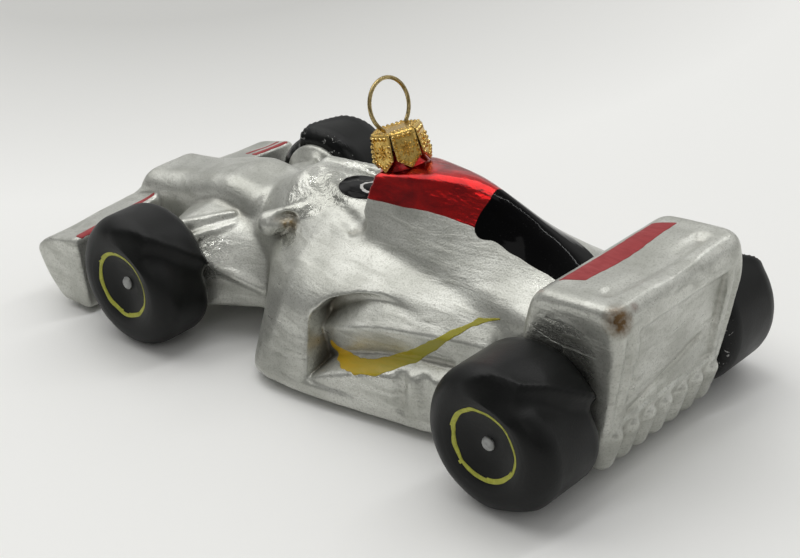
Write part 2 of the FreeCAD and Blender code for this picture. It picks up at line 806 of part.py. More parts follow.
# The black paint starts in a round lobe on either side that reaches forwards.
lobe = doc.addObject("Part::Cylinder", "spine_lobe")
lobe.Placement.Rotation = FreeCAD.Rotation(FreeCAD.Vector(0, 1, 0), 90)
lobe.setExpression("Radius", size("spine_lobe_radius"))
lobe.setExpression("Height", COVER_REAR_HALF + " * 2")
place(lobe, "-" + COVER_REAR_HALF, SPINE_FRONT,
      "Sizes.paint_rear_z + Sizes.spine_lobe_lift")
red_zone = cut("red_zone_lobed", red_slab, [lobe])
black_zone = fuse("black_zone_lobed", black_slab, lobe)

# Rear wing: a closed block between the rear wheels that widens upwards, with
# a sunk panel behind and a groove along its top.
rear_wing_body = new_body("rear_wing_form")


def rear_wing_corners(half, rear_y):
    left = "-(%s) + Sizes.rear_wing_edge_radius" % half
    right = "%s - Sizes.rear_wing_edge_radius" % half
    front = REAR_WING_FRONT + " + Sizes.rear_wing_edge_radius"
    rear = "%s - Sizes.rear_wing_edge_radius" % rear_y
    radius = size("rear_wing_edge_radius")
    return [(left, front, radius), (right, front, radius), (right, rear, radius),
            (left, rear, radius)]


wing_crown = rear_wing_corners(size("rear_wing_top_half"), REAR_WING_TOP_REAR)
rear_wing_sections = [
    rounded_sketch(rear_wing_body, "rear_wing_low", "XY_Plane",
                   rear_wing_corners(size("rear_wing_foot_half"), REAR_WING_FOOT_REAR),
                   size("rear_wing_foot")),
    rounded_sketch(rear_wing_body, "rear_wing_high", "XY_Plane", wing_crown,
                   "Sizes.rear_wing_top - Sizes.rear_wing_edge_radius"),
]
wing_end = end_round(1, size("rear_wing_top"), size("rear_wing_edge_radius"))
for number, (level, share) in enumerate(wing_end[::-1], 1):
    rear_wing_sections.append(rounded_sketch(rear_wing_body, "rear_wing_end_%d" % number,
                                             "XY_Plane", shrink(wing_crown, share), level))
loft(rear_wing_body, "rear_wing_loft", rear_wing_sections, straight=True)

groove = doc.addObject("Part::Cylinder", "groove")
groove.Placement.Rotation = FreeCAD.Rotation(FreeCAD.Vector(0, 1, 0), 90)
groove.setExpression("Radius", size("groove_radius"))
groove_half = "(Sizes.rear_wing_top_half - Sizes.groove_side)"
groove.setExpression("Height", groove_half + " * 2")
place(groove, "-" + groove_half, REAR_WING_TOP_REAR + " - Sizes.groove_ahead",
      "Sizes.rear_wing_top + Sizes.groove_radius - Sizes.groove_sink")

# The sunk panel is a slab that leans with the rear face.
panel_body = new_body("panel_form")
panel_sections = []
for name, level in (("panel_low", "(Sizes.rear_wing_foot + Sizes.panel_sill)"),
                    ("panel_high", "(Sizes.rear_wing_top - Sizes.panel_head)")):
    climb = "((%s - Sizes.rear_wing_foot) / (Sizes.rear_wing_top - Sizes.rear_wing_foot))" % level
    face_y = between(REAR_WING_FOOT_REAR, REAR_WING_TOP_REAR, climb)
    side = "(%s - Sizes.panel_side)" % between(size("rear_wing_foot_half"),
                                               size("rear_wing_top_half"), climb)
    outline = [
        ("-" + side, "%s - Sizes.panel_depth" % face_y),
        (side, "%s - Sizes.panel_depth" % face_y),
        (side, "%s + Sizes.panel_depth" % face_y),
        ("-" + side, "%s + Sizes.panel_depth" % face_y),
    ]
    panel_sections.append(polygon_sketch(panel_body, name, "XY_Plane", outline, level))
loft(panel_body, "panel_loft", panel_sections, straight=True)

rear_wing = cut("rear_wing", rear_wing_body,
                [tub_body, groove, panel_body, tyre_rear_left, tyre_rear_right])
keep(rear_wing, "rear_wing")

# Diffuser: a row of rounded ribs under the rear wing's foot.
rib_body = new_body("rib_form")
rib_tail = REAR_WING_FOOT_REAR + " - Sizes.rib_setback"
rib_level = "Sizes.rear_wing_foot + Sizes.rib_lift"
rib_profile = polygon_sketch(rib_body, "rib_profile", "YZ_Plane", [
    (rib_tail + " - Sizes.rib_length", rib_level),
    (rib_tail, rib_level),
    (rib_tail, rib_level + " + Sizes.rib_tip_radius"),
    (rib_tail + " - Sizes.rib_tip_radius", rib_level + " + Sizes.rib_radius"),
    (rib_tail + " - Sizes.rib_length", rib_level + " + Sizes.rib_radius"),
], "-Sizes.rib_pitch * (Sizes.rib_count - 1) / 2")
rib_turned = rib_body.newObject("PartDesign::Revolution", "rib_turned")
rib_turned.Profile = rib_profile
rib_turned.ReferenceAxis = (rib_profile, ["Edge1"])
rib_turned.Angle = 360
doc.recompute()
rib_row = rib_body.newObject("PartDesign::LinearPattern", "rib_row")
rib_row.Originals = [rib_turned]
rib_axis = [f for f in rib_body.Origin.OriginFeatures if f.Role == "X_Axis"][0]
rib_row.Direction = (rib_axis, [""])
rib_row.setExpression("Length", "Sizes.rib_pitch * (Sizes.rib_count - 1)")
rib_row.setExpression("Occurrences", size("rib_count"))
rib_body.Tip = rib_row
diffuser = cut("diffuser", rib_body, [rear_wing_body])
keep(diffuser, "diffuser_ribs")

# Parting the engine cover.
cover = cut("cover", cover_body, [rear_wing_body, tub_body, neck_socket])
red_cover = common("red_cover", cover, red_zone)
keep(red_cover, "engine_cover")
black_spine = common("black_spine", cover, black_zone)
keep(black_spine, "spine")
flanks = cut("flanks", cover, [red_zone, black_zone])
keep(flanks, "flanks")

# The dark opening is the pit, seated in the bottom of the bowl.
cockpit = cut("cockpit", common("pit_in_cowl", cowl_body, pit), [bowl, cover_body])
keep(cockpit, "cockpit_opening")
cowl = cut("cowl", cowl_body, [bowl, pit, tub_body, nose_body, cover_body])
keep(cowl, "cowl")
tub = cut("tub", tub_body, [neck_socket])
keep(tub, "tub")

# Side pods: a loft whose front edge sweeps back, with an arched duct sunk in
# its side, a swelling inside the duct and three upright bulges behind it.
pod_body = new_body("pod_form")


def pod_corners(side, shoulder_half, shoulder, root):
    return [
        (size("pod_inner"), "Sizes.pod_bottom + Sizes.pod_edge_radius",
         size("pod_edge_radius")),
        ("%s - Sizes.pod_edge_radius" % side, "Sizes.pod_bottom + Sizes.pod_edge_radius",
         size("pod_edge_radius")),
        ("%s - Sizes.pod_edge_radius" % shoulder_half,
         "%s - Sizes.pod_edge_radius" % shoulder, size("pod_edge_radius")),
        (size("pod_inner"), "%s - Sizes.pod_edge_radius" % root, size("pod_edge_radius")),
    ]


POD_STATIONS = [
    ("front", "pod_front_side", "pod_shoulder_half_front", "pod_shoulder_front",
     "pod_root_front"),
    ("corner", "pod_corner_side", "pod_shoulder_half_corner", "pod_shoulder_corner",
     "pod_root_corner"),
    ("wide", "pod_wide_side", "pod_shoulder_half", "pod_shoulder", "pod_root"),
    ("mid", "pod_mid_side", "pod_shoulder_half_mid", "pod_shoulder_mid", "pod_root"),
    ("tuck", "pod_tuck_side", "pod_shoulder_half_tuck", "pod_shoulder_tuck",
     "pod_root_tuck"),
    ("rear", "pod_rear_side", "pod_shoulder_half_rear", "pod_shoulder_rear",
     "pod_root_rear"),
]
POD_PLACES = {"front": POD_FRONT, "rear": POD_REAR}
for station, share in POD_SHARES.items():
    POD_PLACES[station] = between(POD_FRONT, POD_REAR, share)

pod_sections = []
for station, side, shoulder_half, shoulder, root in POD_STATIONS:
    corners = pod_corners(size(side), size(shoulder_half), size(shoulder), size(root))
    pod_sections.append(section(pod_body, "pod_" + station, POD_PLACES[station], corners))
loft(pod_body, "pod_loft", pod_sections)

duct_body = new_body("duct_form")
duct_middle_z = "(Sizes.duct_floor_z + Sizes.duct_roof_z) / 2"
duct_front = "(%s + Sizes.duct_back)" % POD_FRONT
duct_rear = "(%s + Sizes.duct_length)" % duct_front
duct_outline = rounded_sketch(duct_body, "duct_outline", "YZ_Plane", [
    (duct_front + " + Sizes.duct_foot_edge_radius", "Sizes.duct_floor_z + Sizes.duct_foot_edge_radius",
     size("duct_foot_edge_radius")),
    (duct_rear + " - Sizes.duct_foot_edge_radius", "Sizes.duct_floor_z + Sizes.duct_foot_edge_radius",
     size("duct_foot_edge_radius")),
    (duct_rear + " - Sizes.duct_foot_edge_radius", duct_middle_z, size("duct_foot_edge_radius")),
    (duct_front + " + Sizes.duct_roof_edge_radius", "Sizes.duct_roof_z - Sizes.duct_roof_edge_radius",
     size("duct_roof_edge_radius")),
], size("duct_depth_x"))
pad(duct_body, "duct_pad", duct_outline, "Sizes.pod_wide_side")

bulge = ellipsoid("bulge", size("bulge_half_width"), size("bulge_half_length"),
                  size("bulge_half_height"), size("bulge_x"),
                  POD_FRONT + " + Sizes.bulge_back", size("bulge_z"))


def louvre(number):
    """Upright rounded bulge, one of a row that follows the taper of the pod's side."""
    body = new_body("louvre_form_%d" % number)
    top = "Sizes.louvre_height"
    profile = polygon_sketch(body, "louvre_profile_%d" % number, "XZ_Plane", [
        ("0", "0"),
        (size("louvre_radius"), "0"),
        (size("louvre_radius"), top + " - Sizes.louvre_radius"),
        (size("louvre_tip_radius"), top),
        ("0", top),
    ])
    turned = body.newObject("PartDesign::Revolution", "louvre_turned_%d" % number)
    turned.Profile = profile
    turned.ReferenceAxis = (profile, ["V_Axis"])
    turned.Angle = 360
    place(body, "Sizes.louvre_x - Sizes.louvre_step * %d" % number,
          "%s + Sizes.louvre_back + Sizes.louvre_pitch * %d" % (POD_FRONT, number),
          size("louvre_z"))
    return body


pod_sunk = cut("pod_sunk", pod_body, [duct_body])
pod_swollen = fuse("pod_swollen", pod_sunk, bulge)
pod_louvred = pod_swollen
for number in range(SIZES["louvre_count"]):
    pod_louvred = fuse("pod_louvred_%d" % number, pod_louvred, louvre(number))
pod_left = cut("pod_left", pod_louvred, [tub_body, cover_body, cowl_body, tyre_rear_left])
keep(pod_left, "sidepod_left")
pod_right = mirrored("pod_right", pod_left)
keep(pod_right, "sidepod_right")

# Uprights: the silver domes that carry the front wheels on their inner side.
upright_body = new_body("upright_form")
upright_profile = polygon_sketch(upright_body, "upright_profile", "XZ_Plane", [
    ("0", "0"),
    ("-Sizes.upright_depth", "0"),
    ("-Sizes.upright_depth", size("upright_tip_radius")),
    ("-Sizes.upright_waist_depth", size("upright_waist_radius")),
    ("0", size("upright_radius")),
])
upright_turned = upright_body.newObject("PartDesign::Revolution", "upright_turned")
upright_turned.Profile = upright_profile
upright_turned.ReferenceAxis = (upright_profile, ["H_Axis"])
upright_turned.Angle = 360
place(upright_body, size("front_tyre_inner"), FRONT_AXLE, size("tyre_radius"))
keep(upright_body, "upright_front_left")
upright_right = mirrored("upright_right", upright_body)
keep(upright_right, "upright_front_right")

# Front suspension: a lower plate, a web above it and two rounded arms that
# run from the nose to the upright.
plate_body = new_body("suspension_form")


def arm_outline(name, root, tip, level, tail):
    """Outline that narrows from the nose to the upright, then runs on to its tail."""
    corners = [
        (size("arm_root_half"), "%s - Sizes.%s" % (FRONT_AXLE, root)),
        (size("front_tyre_inner"), "%s - Sizes.%s" % (FRONT_AXLE, tip)),
        (size("front_tyre_inner"), "%s + Sizes.%s" % (FRONT_AXLE, tip)),
    ]
    return polygon_sketch(plate_body, name, "XY_Plane", corners + tail, size(level))


# The plate carries on along the tub as a sill, as far as the side pod.
plate_outline = arm_outline("plate_outline", "plate_root_half_length", "plate_tip_half_length",
                            "plate_bottom", [
                                (size("plate_tail_half"), POD_FRONT + " - Sizes.plate_tail_ahead"),
                                (size("plate_tail_half"), POD_FRONT),
                                (size("arm_root_half"), POD_FRONT),
                            ])
pad(plate_body, "plate", plate_outline, "Sizes.plate_top - Sizes.plate_bottom")
web_outline = arm_outline("web_outline", "web_root_half_length", "web_tip_half_length",
                          "plate_top", [
                              (size("arm_root_half"), FRONT_AXLE + " + Sizes.web_root_half_length"),
                          ])
pad(plate_body, "web", web_outline, "Sizes.web_top - Sizes.plate_top")


def arm(name, station):
    """Round arm that climbs from the nose to the top of the upright."""
    rise = "(Sizes.arm_tip_z - Sizes.arm_root_z)"
    reach = "(Sizes.front_tyre_inner - Sizes.arm_root_half)"
    form = doc.addObject("Part::Cylinder", name)
    form.setExpression("Radius", size("arm_radius"))
    form.setExpression("Height", "sqrt(%s ^ 2 + %s ^ 2)" % (rise, reach))
    form.Placement.Rotation = FreeCAD.Rotation(FreeCAD.Vector(0, 1, 0), 90)
    form.setExpression(".Placement.Rotation.Angle",
                       "90deg - atan(%s / %s)" % (rise, reach))
    place(form, size("arm_root_half"), station, size("arm_root_z"))
    return form


arm_front = arm("arm_front", FRONT_AXLE + " - Sizes.arm_front_ahead")
arm_rear = arm("arm_rear", FRONT_AXLE + " + Sizes.arm_rear_behind")
suspension = fuse("suspension_arms", fuse("suspension_arm", plate_body, arm_front), arm_rear)
suspension_left = cut("suspension_left", suspension,
                      [nose_body, tub_body, tyre_front_left, upright_body])
keep(suspension_left, "wishbones_left")
suspension_right = mirrored("suspension_right", suspension_left)
keep(suspension_right, "wishbones_right")

# Mirrors: a rounded stub on each side of the cowl.
mirror_body = new_body("mirror_form")
mirror_profile = polygon_sketch(mirror_body, "mirror_profile", "XZ_Plane", [
    ("0", "0"),
    ("0", size("mirror_root_radius")),
    ("Sizes.mirror_length / 2", size("mirror_radius")),
    ("Sizes.mirror_length - Sizes.mirror_edge_radius", size("mirror_radius")),
    (size("mirror_length"), size("mirror_tip_radius")),
    (size("mirror_length"), "0"),
])
mirror_turned = mirror_body.newObject("PartDesign::Revolution", "mirror_turned")
mirror_turned.Profile = mirror_profile
mirror_turned.ReferenceAxis = (mirror_profile, ["H_Axis"])
mirror_turned.Angle = 360
mirror_body.Placement.Rotation = FreeCAD.Rotation(FreeCAD.Vector(0, 1, 0),
                                                  value(size("mirror_fall")))
place(mirror_body, size("mirror_inner"), COVER_FRONT + " - Sizes.mirror_ahead",
      size("mirror_z"))
mirror_left = cut("mirror_left", mirror_body, [cowl_body, pod_body, tub_body])
keep(mirror_left, "mirror_left")
mirror_right = mirrored("mirror_right", mirror_left)
keep(mirror_right, "mirror_right")

# Crown cap: a thin stamped plate with six pointed petals bent down round the
# neck and two holes for the wire.
cap = new_body("cap_form")
cap_flat = "(Sizes.neck_radius + Sizes.cap_gap + Sizes.cap_sheet)"


def hexagon(flat):
    """Corners of a hexagon with its flats at a distance from the axis."""
    corners = []
    for number in range(6):
        angle = 30 + 60 * number
        corners.append(("%s / cos(30deg) * cos(%ddeg)" % (flat, angle),
                        "%s / cos(30deg) * sin(%ddeg)" % (flat, angle)))
    return corners


def petal_points(inset):
    """Outline of a pointed petal, drawn in by an inset on every side but the bend."""
    half = "(Sizes.petal_width / 2 - %s)" % inset
    return [
        ("-" + half, "-(%s)" % inset),
        ("-" + half, "-Sizes.petal_straight"),
        ("0", "-Sizes.petal_straight - Sizes.petal_point + %s" % inset),
        (half, "-Sizes.petal_straight"),
        (half, "-(%s)" % inset),
    ]


cap_outline = polygon_sketch(cap, "cap_outline", "XY_Plane", hexagon(cap_flat),
                             "-Sizes.cap_sheet")
pad(cap, "cap_plate", cap_outline, size("cap_sheet"))
cap_rim = polygon_sketch(cap, "cap_rim_outline", "XY_Plane", hexagon(cap_flat), "0",
                         hexagon("(%s - Sizes.cap_rim_width)" % cap_flat))
pad(cap, "cap_rim", cap_rim, size("cap_rim_height"))

petal_flare = FreeCAD.Rotation(FreeCAD.Vector(-1, 0, 0), value(size("petal_flare")))
petal_features = []
for name, inner, start, length in (
        ("petal", (), "-Sizes.cap_sheet", size("cap_sheet")),
        ("petal_rim", petal_points(size("cap_rim_width")), "0", size("cap_rim_height"))):
    outline = polygon_sketch(cap, name + "_outline", "YZ_Plane", petal_points("0"),
                             "%s + %s * cos(Sizes.petal_flare * 1deg)" % (cap_flat, start), inner)
    outline.AttachmentOffset.Rotation = petal_flare
    outline.setExpression(".AttachmentOffset.Rotation.Angle", size("petal_flare"))
    petal_features.append(pad(cap, name, outline, length))
doc.recompute()
petals = cap.newObject("PartDesign::PolarPattern", "petals")
petals.Originals = petal_features
cap_axis = [f for f in cap.Origin.OriginFeatures if f.Role == "Z_Axis"][0]
petals.Axis = (cap_axis, [""])
petals.Angle = 360
petals.setExpression("Occurrences", size("petal_count"))
cap.Tip = petals
on_crown(cap)


def wire_hole(name, side):
    """Hole in the cap's plate that one leg of the wire slides through."""
    form = doc.addObject("Part::Cylinder", name)
    form.setExpression("Radius", "Sizes.wire_radius + Sizes.wire_gap")
    form.setExpression("Height", "Sizes.cap_sheet * 3")
    on_crown(form, "-Sizes.cap_sheet * 2")
    form.setExpression(".Placement.Base.x", "(%d) * %s" % (side, LEG_HALF))
    return form


crown_cap = cut("crown_cap", cap, [wire_hole("hole_left", 1), wire_hole("hole_right", -1)])
keep(crown_cap, "crown_cap")

# Hanger: one wire, two straight legs that turn outwards into a round loop.
hanger = new_body("hanger_form")
bend_x = value(LEG_HALF + " + Sizes.loop_bend")
loop_rise = math.sqrt(value("Sizes.loop_radius + Sizes.loop_bend") ** 2 - bend_x ** 2)
turn = math.atan2(loop_rise, -bend_x)
up = FreeCAD.Vector(0, 0, 1)
bend = value(size("loop_bend"))
start = value(size("loop_start"))
leg_x = value(LEG_HALF)
foot = -value(LEG_LENGTH)
wire_path = new_sketch(hanger, "wire_path", "XZ_Plane")
wire_path.addGeometry(Part.LineSegment(FreeCAD.Vector(leg_x, foot, 0),
                                       FreeCAD.Vector(leg_x, start, 0)), False)
wire_path.addGeometry(Part.ArcOfCircle(
    Part.Circle(FreeCAD.Vector(bend_x, start, 0), up, bend), turn, math.pi), False)
wire_path.addGeometry(Part.ArcOfCircle(
    Part.Circle(FreeCAD.Vector(0, start + loop_rise, 0), up, value(size("loop_radius"))),
    turn - math.pi, 2 * math.pi - turn), False)
wire_path.addGeometry(Part.ArcOfCircle(
    Part.Circle(FreeCAD.Vector(-bend_x, start, 0), up, bend), 0, math.pi - turn), False)
wire_path.addGeometry(Part.LineSegment(FreeCAD.Vector(-leg_x, start, 0),
                                       FreeCAD.Vector(-leg_x, foot, 0)), False)
for first, first_end, second, second_end in ((0, 2, 1, 2), (1, 1, 2, 1), (2, 2, 3, 2),
                                             (3, 1, 4, 1)):
    wire_path.addConstraint(Sketcher.Constraint("Tangent", first, first_end, second, second_end))
pin(wire_path, 0, 1, LEG_HALF, "-" + LEG_LENGTH)
pin(wire_path, 4, 2, "-" + LEG_HALF, "-" + LEG_LENGTH)
pin(wire_path, 1, 3, LEG_HALF + " + Sizes.loop_bend", size("loop_start"))
pin(wire_path, 3, 3, "-%s - Sizes.loop_bend" % LEG_HALF, size("loop_start"))
mark = wire_path.addConstraint(Sketcher.Constraint("Radius", 2, value(size("loop_radius"))))
wire_path.setExpression("Constraints[%d]" % mark, size("loop_radius"))
wire_end = circle_sketch(hanger, "wire_end", "XY_Plane", (LEG_HALF, "0"),
                         size("wire_radius"), "-" + LEG_LENGTH)
wire_pipe = hanger.newObject("PartDesign::AdditivePipe", "wire_pipe")
wire_pipe.Profile = wire_end
wire_pipe.Spine = (wire_path, ["Edge1", "Edge2", "Edge3", "Edge4", "Edge5"])
on_crown(hanger)
keep(hanger, "hanger")

doc.recompute()
failed = [obj.Name for obj in doc.Objects if "Invalid" in obj.State or "Error" in obj.State]
if failed:
    raise RuntimeError("These objects failed: " + ", ".join(failed))
for obj in SUB_PARTS:
    if obj.Shape.isNull() or not obj.Shape.isValid():
        raise RuntimeError("The shape of %s is not sound" % obj.Label)

os.makedirs("parts", exist_ok=True)
for obj in SUB_PARTS:
    obj.Shape.exportStep("parts/%s.step" % obj.Label)
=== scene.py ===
"""Blown glass racing car on a wire hanger, dressed and lit as in its photograph.

The glass is shaped as one soft field of signed distances, the way a bubble of
glass fills its mould, then meshed and parted into the pieces that the frame
names. Paint, tyres, crown cap and wire are built on top of it. Sizes in the
classes are millimetres in the frame of the part: -Y is the nose, +X the car's
left, +Z up.
"""

import json
import logging
import math
from dataclasses import dataclass, field
from enum import Enum
from typing import Callable, Sequence

import bpy
import numpy as np
from mathutils import Matrix, Vector

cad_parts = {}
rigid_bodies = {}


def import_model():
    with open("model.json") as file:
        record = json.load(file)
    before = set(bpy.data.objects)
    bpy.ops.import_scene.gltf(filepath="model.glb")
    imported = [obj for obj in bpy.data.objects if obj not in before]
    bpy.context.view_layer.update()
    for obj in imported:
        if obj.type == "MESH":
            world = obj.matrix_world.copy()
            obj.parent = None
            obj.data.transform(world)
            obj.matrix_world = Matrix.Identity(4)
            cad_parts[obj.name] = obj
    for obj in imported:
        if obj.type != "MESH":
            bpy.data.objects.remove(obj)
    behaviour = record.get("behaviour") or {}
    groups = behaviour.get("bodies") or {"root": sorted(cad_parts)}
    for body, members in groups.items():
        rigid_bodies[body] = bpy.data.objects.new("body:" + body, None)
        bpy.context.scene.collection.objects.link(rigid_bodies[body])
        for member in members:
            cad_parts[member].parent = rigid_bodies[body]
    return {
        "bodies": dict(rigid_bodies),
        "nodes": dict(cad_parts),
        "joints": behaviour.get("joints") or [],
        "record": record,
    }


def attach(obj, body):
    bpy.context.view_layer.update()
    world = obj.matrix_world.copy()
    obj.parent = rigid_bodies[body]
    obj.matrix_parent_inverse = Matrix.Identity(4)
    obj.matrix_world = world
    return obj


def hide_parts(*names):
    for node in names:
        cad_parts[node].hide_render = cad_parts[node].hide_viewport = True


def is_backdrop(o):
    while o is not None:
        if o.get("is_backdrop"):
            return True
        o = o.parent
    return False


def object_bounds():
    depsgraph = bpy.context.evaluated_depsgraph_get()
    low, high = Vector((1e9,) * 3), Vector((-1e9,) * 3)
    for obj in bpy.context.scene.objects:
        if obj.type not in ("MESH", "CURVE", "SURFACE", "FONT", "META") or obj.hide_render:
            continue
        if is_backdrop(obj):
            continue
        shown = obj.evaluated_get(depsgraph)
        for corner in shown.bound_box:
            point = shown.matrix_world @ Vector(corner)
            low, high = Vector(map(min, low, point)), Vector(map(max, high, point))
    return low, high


LOG = logging.getLogger("glass_car")
MM = 0.001
FAR = 40.0

Array = np.ndarray
Point = tuple[float, float, float]
Flat = tuple[float, float]
Region = Callable[[Array], Array]


class Zone(Enum):
    """Forms of the glass, each with the name of the frame node that it stands for."""

    NOSE = "nose"
    FRONT_WING = "front_wing"
    TUB = "tub"
    COWL = "cowl"
    COCKPIT = "cockpit_opening"
    COVER = "engine_cover"
    SPINE = "spine"
    FLANKS = "flanks"
    POD = "sidepod"
    UPRIGHT = "upright_front"
    WISHBONES = "wishbones"
    MIRROR = "mirror"
    REAR_WING = "rear_wing"
    DIFFUSER = "diffuser_ribs"


PAIRED = (Zone.POD, Zone.UPRIGHT, Zone.WISHBONES, Zone.MIRROR)


class Body(Enum):
    """Bodies of the frame that the pieces ride on."""

    GLASS = "glass"
    CAP = "cap"
    HANGER = "hanger"


# Shaping


def smooth_min(first: Array, second: Array, blend: float) -> Array:
    """Union of two distances whose crease melts away.

    Args:
        first: Distances to one form.
        second: Distances to the other form.
        blend: Width over which the forms melt together.

    Returns:
        Distances to the melted union.
    """
    if blend <= 0.0:
        return np.minimum(first, second)
    near = np.maximum(blend - np.abs(first - second), 0.0) / blend
    return np.minimum(first, second) - near * near * (blend / 4)


def smooth_max(first: Array, second: Array, blend: float) -> Array:
    """Intersection of two distances with a rounded edge."""
    return -smooth_min(-first, -second, blend)


def fade(value: Array, start: float, end: float) -> Array:
    """Smooth step from 0 at start to 1 at end."""
    share = np.clip((value - start) / (end - start), 0.0, 1.0)
    return share * share * (3 - 2 * share)


def turns(count: int) -> Array:
    """Angles of a full turn in equal steps."""
    return np.arange(count) / count * 2 * math.pi


def turned(angle: float) -> Array:
    """Matrix that turns rows of points about the upright axis."""
    cos, sin = math.cos(angle), math.sin(angle)
    return np.array([[cos, sin, 0.0], [-sin, cos, 0.0], [0.0, 0.0, 1.0]])


def band(rows: int, around: int, flipped: bool = False, closed: bool = False) -> Array:
    """Quads between neighbouring rings of points.

    Args:
        rows: Number of rings.
        around: Number of points in each ring.
        flipped: Whether the quads face the other way.
        closed: Whether the last ring meets the first.

    Returns:
        Four corners for each quad, ring by ring.
    """
    low = np.arange(rows if closed else rows - 1)[:, None] * around
    high = (low + around) % (rows * around)
    here = np.arange(around)
    beside = (here + 1) % around
    quads = np.stack([low + here, low + beside, high + beside, high + here], axis=2)
    return quads.reshape(-1, 4)[:, [0, 3, 2, 1] if flipped else [0, 1, 2, 3]]


def boxed(low: Array, high: Array, mirrored: bool) -> tuple[Array, Array]:
    """Corners of a box, stretched to the car's other side if mirrored."""
    low = np.where([mirrored, False, False], -high, low)
    return low, high


def noise(points: Array, scale: float, seed: int) -> Array:
    """Soft value noise between -1 and 1.

    Args:
        points: Places in millimetres, one row each.
        scale: Size of a feature in millimetres.
        seed: Number that picks the pattern.

    Returns:
        One value for each point.
    """
    spots = points / scale + seed * 17.31
    base = np.floor(spots).astype(np.int64)
    part = spots - base
    part = part * part * (3 - 2 * part)
    total = np.zeros(len(points))
    for corner in range(8):
        step = np.array([corner & 1, corner >> 1 & 1, corner >> 2 & 1])
        cell = base + step
        mixed = cell[:, 0] * 73856093 ^ cell[:, 1] * 19349663 ^ cell[:, 2] * 83492791
        mixed = (mixed ^ seed * 2654435761) & 0xFFFFFFFF
        mixed = (mixed ^ mixed >> 15) * 2246822519 & 0xFFFFFFFF
        mixed = (mixed ^ mixed >> 13) * 3266489917 & 0xFFFFFFFF
        level = (mixed & 0xFFFF) / 32767.5 - 1
        total += level * np.prod(np.where(step == 1, part, 1 - part), axis=1)
    return total


@dataclass(frozen=True)
class Ellipsoid:
    """Round form with three half sizes, on both sides of the car if mirrored."""

    centre: Point
    half: Point
    mirrored: bool = False

    def distance(self, x: Array, y: Array, z: Array) -> Array:
        """Distance from each place to the surface, negative inside.

        Args:
            x: Places across the car, shaped to broadcast.
            y: Places along the car.
            z: Heights.

        Returns:
            The distances on the grid that the three span.
        """
        across = np.abs(x) if self.mirrored else x
        offsets = [across - self.centre[0], y - self.centre[1], z - self.centre[2]]
        near = np.sqrt(sum((o / h) ** 2 for o, h in zip(offsets, self.half)))
        slope = np.sqrt(sum((o / h ** 2) ** 2 for o, h in zip(offsets, self.half)))
        return near * (near - 1) / np.maximum(slope, 1e-6)

    def reach(self) -> tuple[Array, Array]:
        """Lowest and highest corner of the box that holds the form."""
        low, high = np.subtract(self.centre, self.half), np.add(self.centre, self.half)
        return boxed(low, high, self.mirrored)


@dataclass(frozen=True)
class Capsule:
    """Round bar between two points, with a radius at each end."""

    start: Point
    end: Point
    radius: float
    tip_radius: float
    mirrored: bool = False

    def distance(self, x: Array, y: Array, z: Array) -> Array:
        """Distance from each place to the surface, negative inside.

        Args:
            x: Places across the car, shaped to broadcast.
            y: Places along the car.
            z: Heights.

        Returns:
            The distances on the grid that the three span.
        """
        across = np.abs(x) if self.mirrored else x
        run = np.subtract(self.end, self.start)
        offsets = [across - self.start[0], y - self.start[1], z - self.start[2]]
        share = sum(o * r for o, r in zip(offsets, run)) / float(run @ run)
        share = np.clip(share, 0.0, 1.0)
        gap = np.sqrt(sum((o - share * r) ** 2 for o, r in zip(offsets, run)))
        return gap - (self.radius + (self.tip_radius - self.radius) * share)

    def reach(self) -> tuple[Array, Array]:
        """Lowest and highest corner of the box that holds the form.

        Returns:
            The two corners.
        """
        widest = max(self.radius, self.tip_radius)
        low = np.minimum(self.start, self.end) - widest
        high = np.maximum(self.start, self.end) + widest
        return boxed(low, high, self.mirrored)


@dataclass(frozen=True)
class Loft:
    """Section that changes along the car, the same on both sides of its middle.

    A station holds its place along the car and the corners of its right hand
    outline, as (half width, height) from the lowest to the highest. The edges
    hold the rounding of each corner from the foot up, and last that of the top.
    """

    stations: tuple[tuple[float, tuple[Flat, ...]], ...]
    edges: tuple[float, ...]
    end: float = 2.0
    ease: float = 3.0

    def _eased(self, along: Array, values: Sequence[float]) -> Array:
        """Values between the stations, with the bends at the stations eased.

        Args:
            along: Places along the car.
            values: One value for each station.

        Returns:
            One value for each place.
        """
        places = [station[0] for station in self.stations]
        offsets = np.linspace(-self.ease, self.ease, 9)
        weights = np.cos(offsets / (self.ease + 0.5) * math.pi / 2)
        parts = [w * np.interp(along + o, places, values) for o, w in zip(offsets, weights)]
        return sum(parts) / weights.sum()

    def distance(self, x: Array, y: Array, z: Array) -> Array:
        """Distance from each place to the surface, negative inside.

        Args:
            x: Places across the car, shaped to broadcast.
            y: Places along the car.
            z: Heights.

        Returns:
            The distances on the grid that the three span.
        """
        along = y[0, :, 0]
        corners = []
        for number in range(len(self.stations[0][1])):
            half = self._eased(along, [s[1][number][0] for s in self.stations])
            level = self._eased(along, [s[1][number][1] for s in self.stations])
            corners.append((half[None, :, None], level[None, :, None]))
        across = np.abs(x)
        result = corners[0][1] - z
        for (half, level), (next_half, next_level), edge in zip(corners, corners[1:], self.edges):
            length = np.hypot(next_half - half, next_level - level) + 1e-6
            outward = (next_level - level) / length
            upward = (half - next_half) / length
            side = (across - half) * outward + (z - level) * upward
            result = smooth_max(result, side, edge)
        result = smooth_max(result, z - corners[-1][1], self.edges[-1])
        ends = np.maximum(self.stations[0][0] - y, y - self.stations[-1][0])
        return smooth_max(result, ends, self.end)

    def reach(self) -> tuple[Array, Array]:
        """Lowest and highest corner of the box that holds the form.

        Returns:
            The two corners.
        """
        halves = [c[0] for s in self.stations for c in s[1]]
        levels = [c[1] for s in self.stations for c in s[1]]
        low = np.array((0.0, self.stations[0][0], min(levels)))
        high = np.array((max(halves), self.stations[-1][0], max(levels)))
        return boxed(low, high, True)


